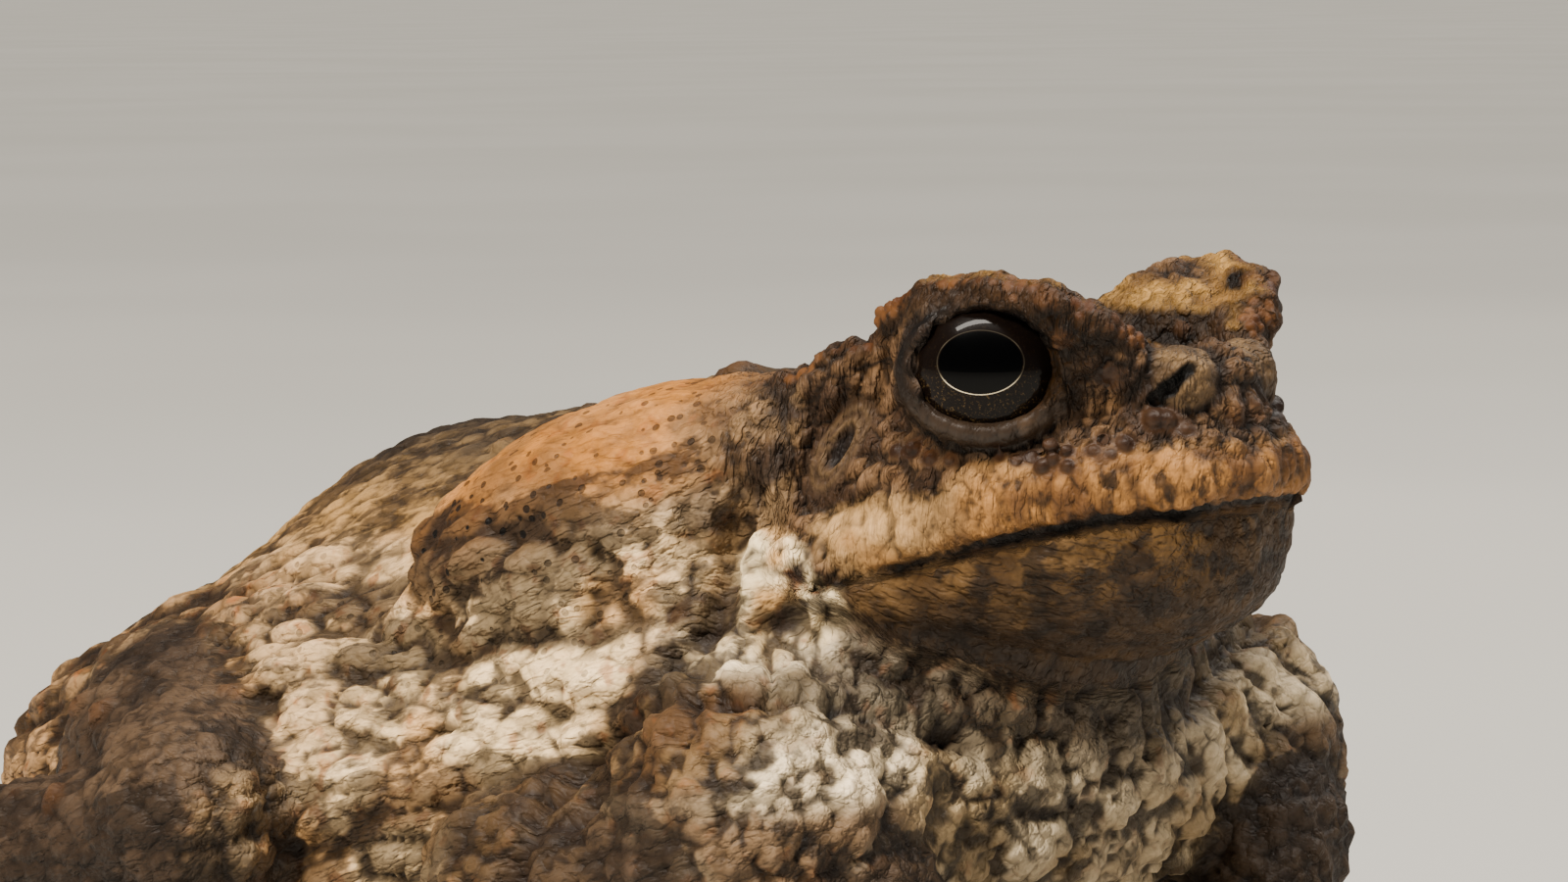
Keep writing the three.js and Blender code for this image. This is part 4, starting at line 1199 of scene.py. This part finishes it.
def make_eye(name, mirror, around=96, bands=64):
    """An eyeball on a grid of the turn about the gaze and the angle from it: a ball whose front swells
    into the cornea by a bell curve of that angle."""
    back, top, out = eye_axes()
    turn, open_angle = np.meshgrid(np.linspace(0, 2 * np.pi, around + 1)[:-1],
                                   np.linspace(0, np.pi, bands + 1)[1:-1])
    swell = EYE_RADIUS * (1 + CORNEA_SWELL * np.exp(-(open_angle / CORNEA_SPREAD) ** 2))
    level, rise = np.sin(open_angle) * np.cos(turn), np.sin(open_angle) * np.sin(turn)
    rays = level[..., None] * back + rise[..., None] * top + np.cos(open_angle)[..., None] * out
    rings = (EYE + rays * swell[..., None]).reshape(-1, 3)
    poles = [EYE + out * EYE_RADIUS * (1 + CORNEA_SWELL), EYE - out * EYE_RADIUS]
    points = np.concatenate([rings, poles])
    rows = bands - 1
    i, j = np.meshgrid(np.arange(rows - 1), np.arange(around), indexing="ij")
    a, b = i * around + j, i * around + (j + 1) % around
    c, d = b + around, a + around
    last = (rows - 1) * around
    j = np.arange(around)
    k = (j + 1) % around
    front, rear = np.full(around, rows * around), np.full(around, rows * around + 1)
    faces = np.concatenate([
        np.stack([a, d, b], -1).reshape(-1, 3), np.stack([b, d, c], -1).reshape(-1, 3),
        np.stack([front, j, k], 1), np.stack([rear, last + k, last + j], 1)])
    flat = (points - EYE) @ np.stack([back, top], 1)
    if mirror:
        points = points * [-1, 1, 1]
        faces = faces[:, ::-1]
    eye = mesh_piece(name, points, faces, eye_finish())
    paint(eye, "eye_level", flat[:, 0])
    paint(eye, "eye_rise", flat[:, 1])
    return eye


FLESH = ["head", "torso"] + [f"{part}_{side}" for part in (
    "parotoid_gland", "upper_arm", "forearm", "hand", "thigh", "shank", "ankle", "foot")
    for side in ("left", "right")]

hide = make_hide()
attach(hide, "root")
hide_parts(*FLESH)
for side, mirror in (("left", False), ("right", True)):
    eyeball = make_eye(f"eyeball_{side}", mirror)
    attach(eyeball, "root")
    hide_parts(f"eye_{side}")


# Floor, light and camera

def make_floor(reach=40.0):
    """A flat square that reaches so many metres each way."""
    mesh = bpy.data.meshes.new("floor")
    corners = [(-reach, -reach, 0), (reach, -reach, 0), (reach, reach, 0), (-reach, reach, 0)]
    mesh.from_pydata(corners, [], [(0, 1, 2, 3)])
    mesh.materials.append(floor_finish())
    floor = bpy.data.objects.new("floor", mesh)
    bpy.context.scene.collection.objects.link(floor)


def camera_axes():
    """The camera's right, up and backward directions from its azimuth, elevation and roll."""
    a, e, r = (math.radians(v) for v in (CAMERA_AZIMUTH, CAMERA_ELEVATION, CAMERA_ROLL))
    backward = np.array([math.sin(a) * math.cos(e), -math.cos(a) * math.cos(e), math.sin(e)])
    level = np.array([math.cos(a), math.sin(a), 0])
    rise = np.cross(backward, level)
    return (level * math.cos(r) + rise * math.sin(r), rise * math.cos(r) - level * math.sin(r), backward)


def hang(lamp, place, aim):
    """Puts a lamp at a place, turned towards an aim, its longer side level across the camera's view."""
    back = unit(np.subtract(place, aim))
    across = np.array(camera_axes()[0])
    across = unit(across - back * (across @ back))
    matrix = np.eye(4)
    matrix[:3, :3] = np.stack([across, np.cross(back, across), back], 1)
    matrix[:3, 3] = place
    holder = bpy.data.objects.new(lamp.name, lamp)
    holder.matrix_world = Matrix(matrix.tolist())
    bpy.context.scene.collection.objects.link(holder)
    return holder


def soft_box(name, place, aim, size, power, warmth):
    """A glowing rectangle at a place in metres, of so many watts."""
    lamp = bpy.data.lights.new(name, "AREA")
    lamp.shape = "RECTANGLE"
    lamp.size, lamp.size_y = size
    lamp.energy = power
    lamp.color = warmth
    hang(lamp, place, aim)


def far_light(name, towards, strength, angle, warmth):
    """A light that is as strong everywhere, from a patch of sky that spans an angle; it gives the eyes
    no spot."""
    lamp = bpy.data.lights.new(name, "SUN")
    lamp.energy = strength
    lamp.angle = angle
    lamp.color = warmth
    hang(lamp, towards, (0, 0, 0)).visible_glossy = False


def make_world(colour, strength):
    """An even glow from all round."""
    world = bpy.data.worlds.new("studio")
    world.use_nodes = True
    glow = world.node_tree.nodes["Background"]
    glow.inputs["Color"].default_value = colour
    glow.inputs["Strength"].default_value = strength
    bpy.context.scene.world = world


def make_camera():
    """The camera at its place, turned by its axes."""
    camera = bpy.data.objects.new("camera", bpy.data.cameras.new("camera"))
    camera.data.lens = LENS
    camera.data.sensor_width = SENSOR
    camera.data.clip_start = 0.01
    matrix = np.eye(4)
    matrix[:3, :3] = np.stack(camera_axes(), 1)
    matrix[:3, 3] = (CAMERA + ORIGIN) * MM
    camera.matrix_world = Matrix(matrix.tolist())
    bpy.context.scene.collection.objects.link(camera)
    bpy.context.scene.camera = camera


make_floor()
make_world(colour=(0.86, 0.92, 1.0, 1), strength=0.08)
soft_box("key", place=(-0.145, -0.132, 0.82), aim=(0, -0.03, 0.06), size=(1.0, 0.1), power=10,
         warmth=(1, 0.94, 0.85))
soft_box("left", place=(0.6, -0.1, 0.6), aim=(0, 0, 0.05), size=(0.4, 0.4), power=2.5,
         warmth=(1, 0.96, 0.9))
far_light("side", towards=(-0.743, 0, 0.669), strength=7.0, angle=0.15, warmth=(1, 0.95, 0.86))
make_camera()
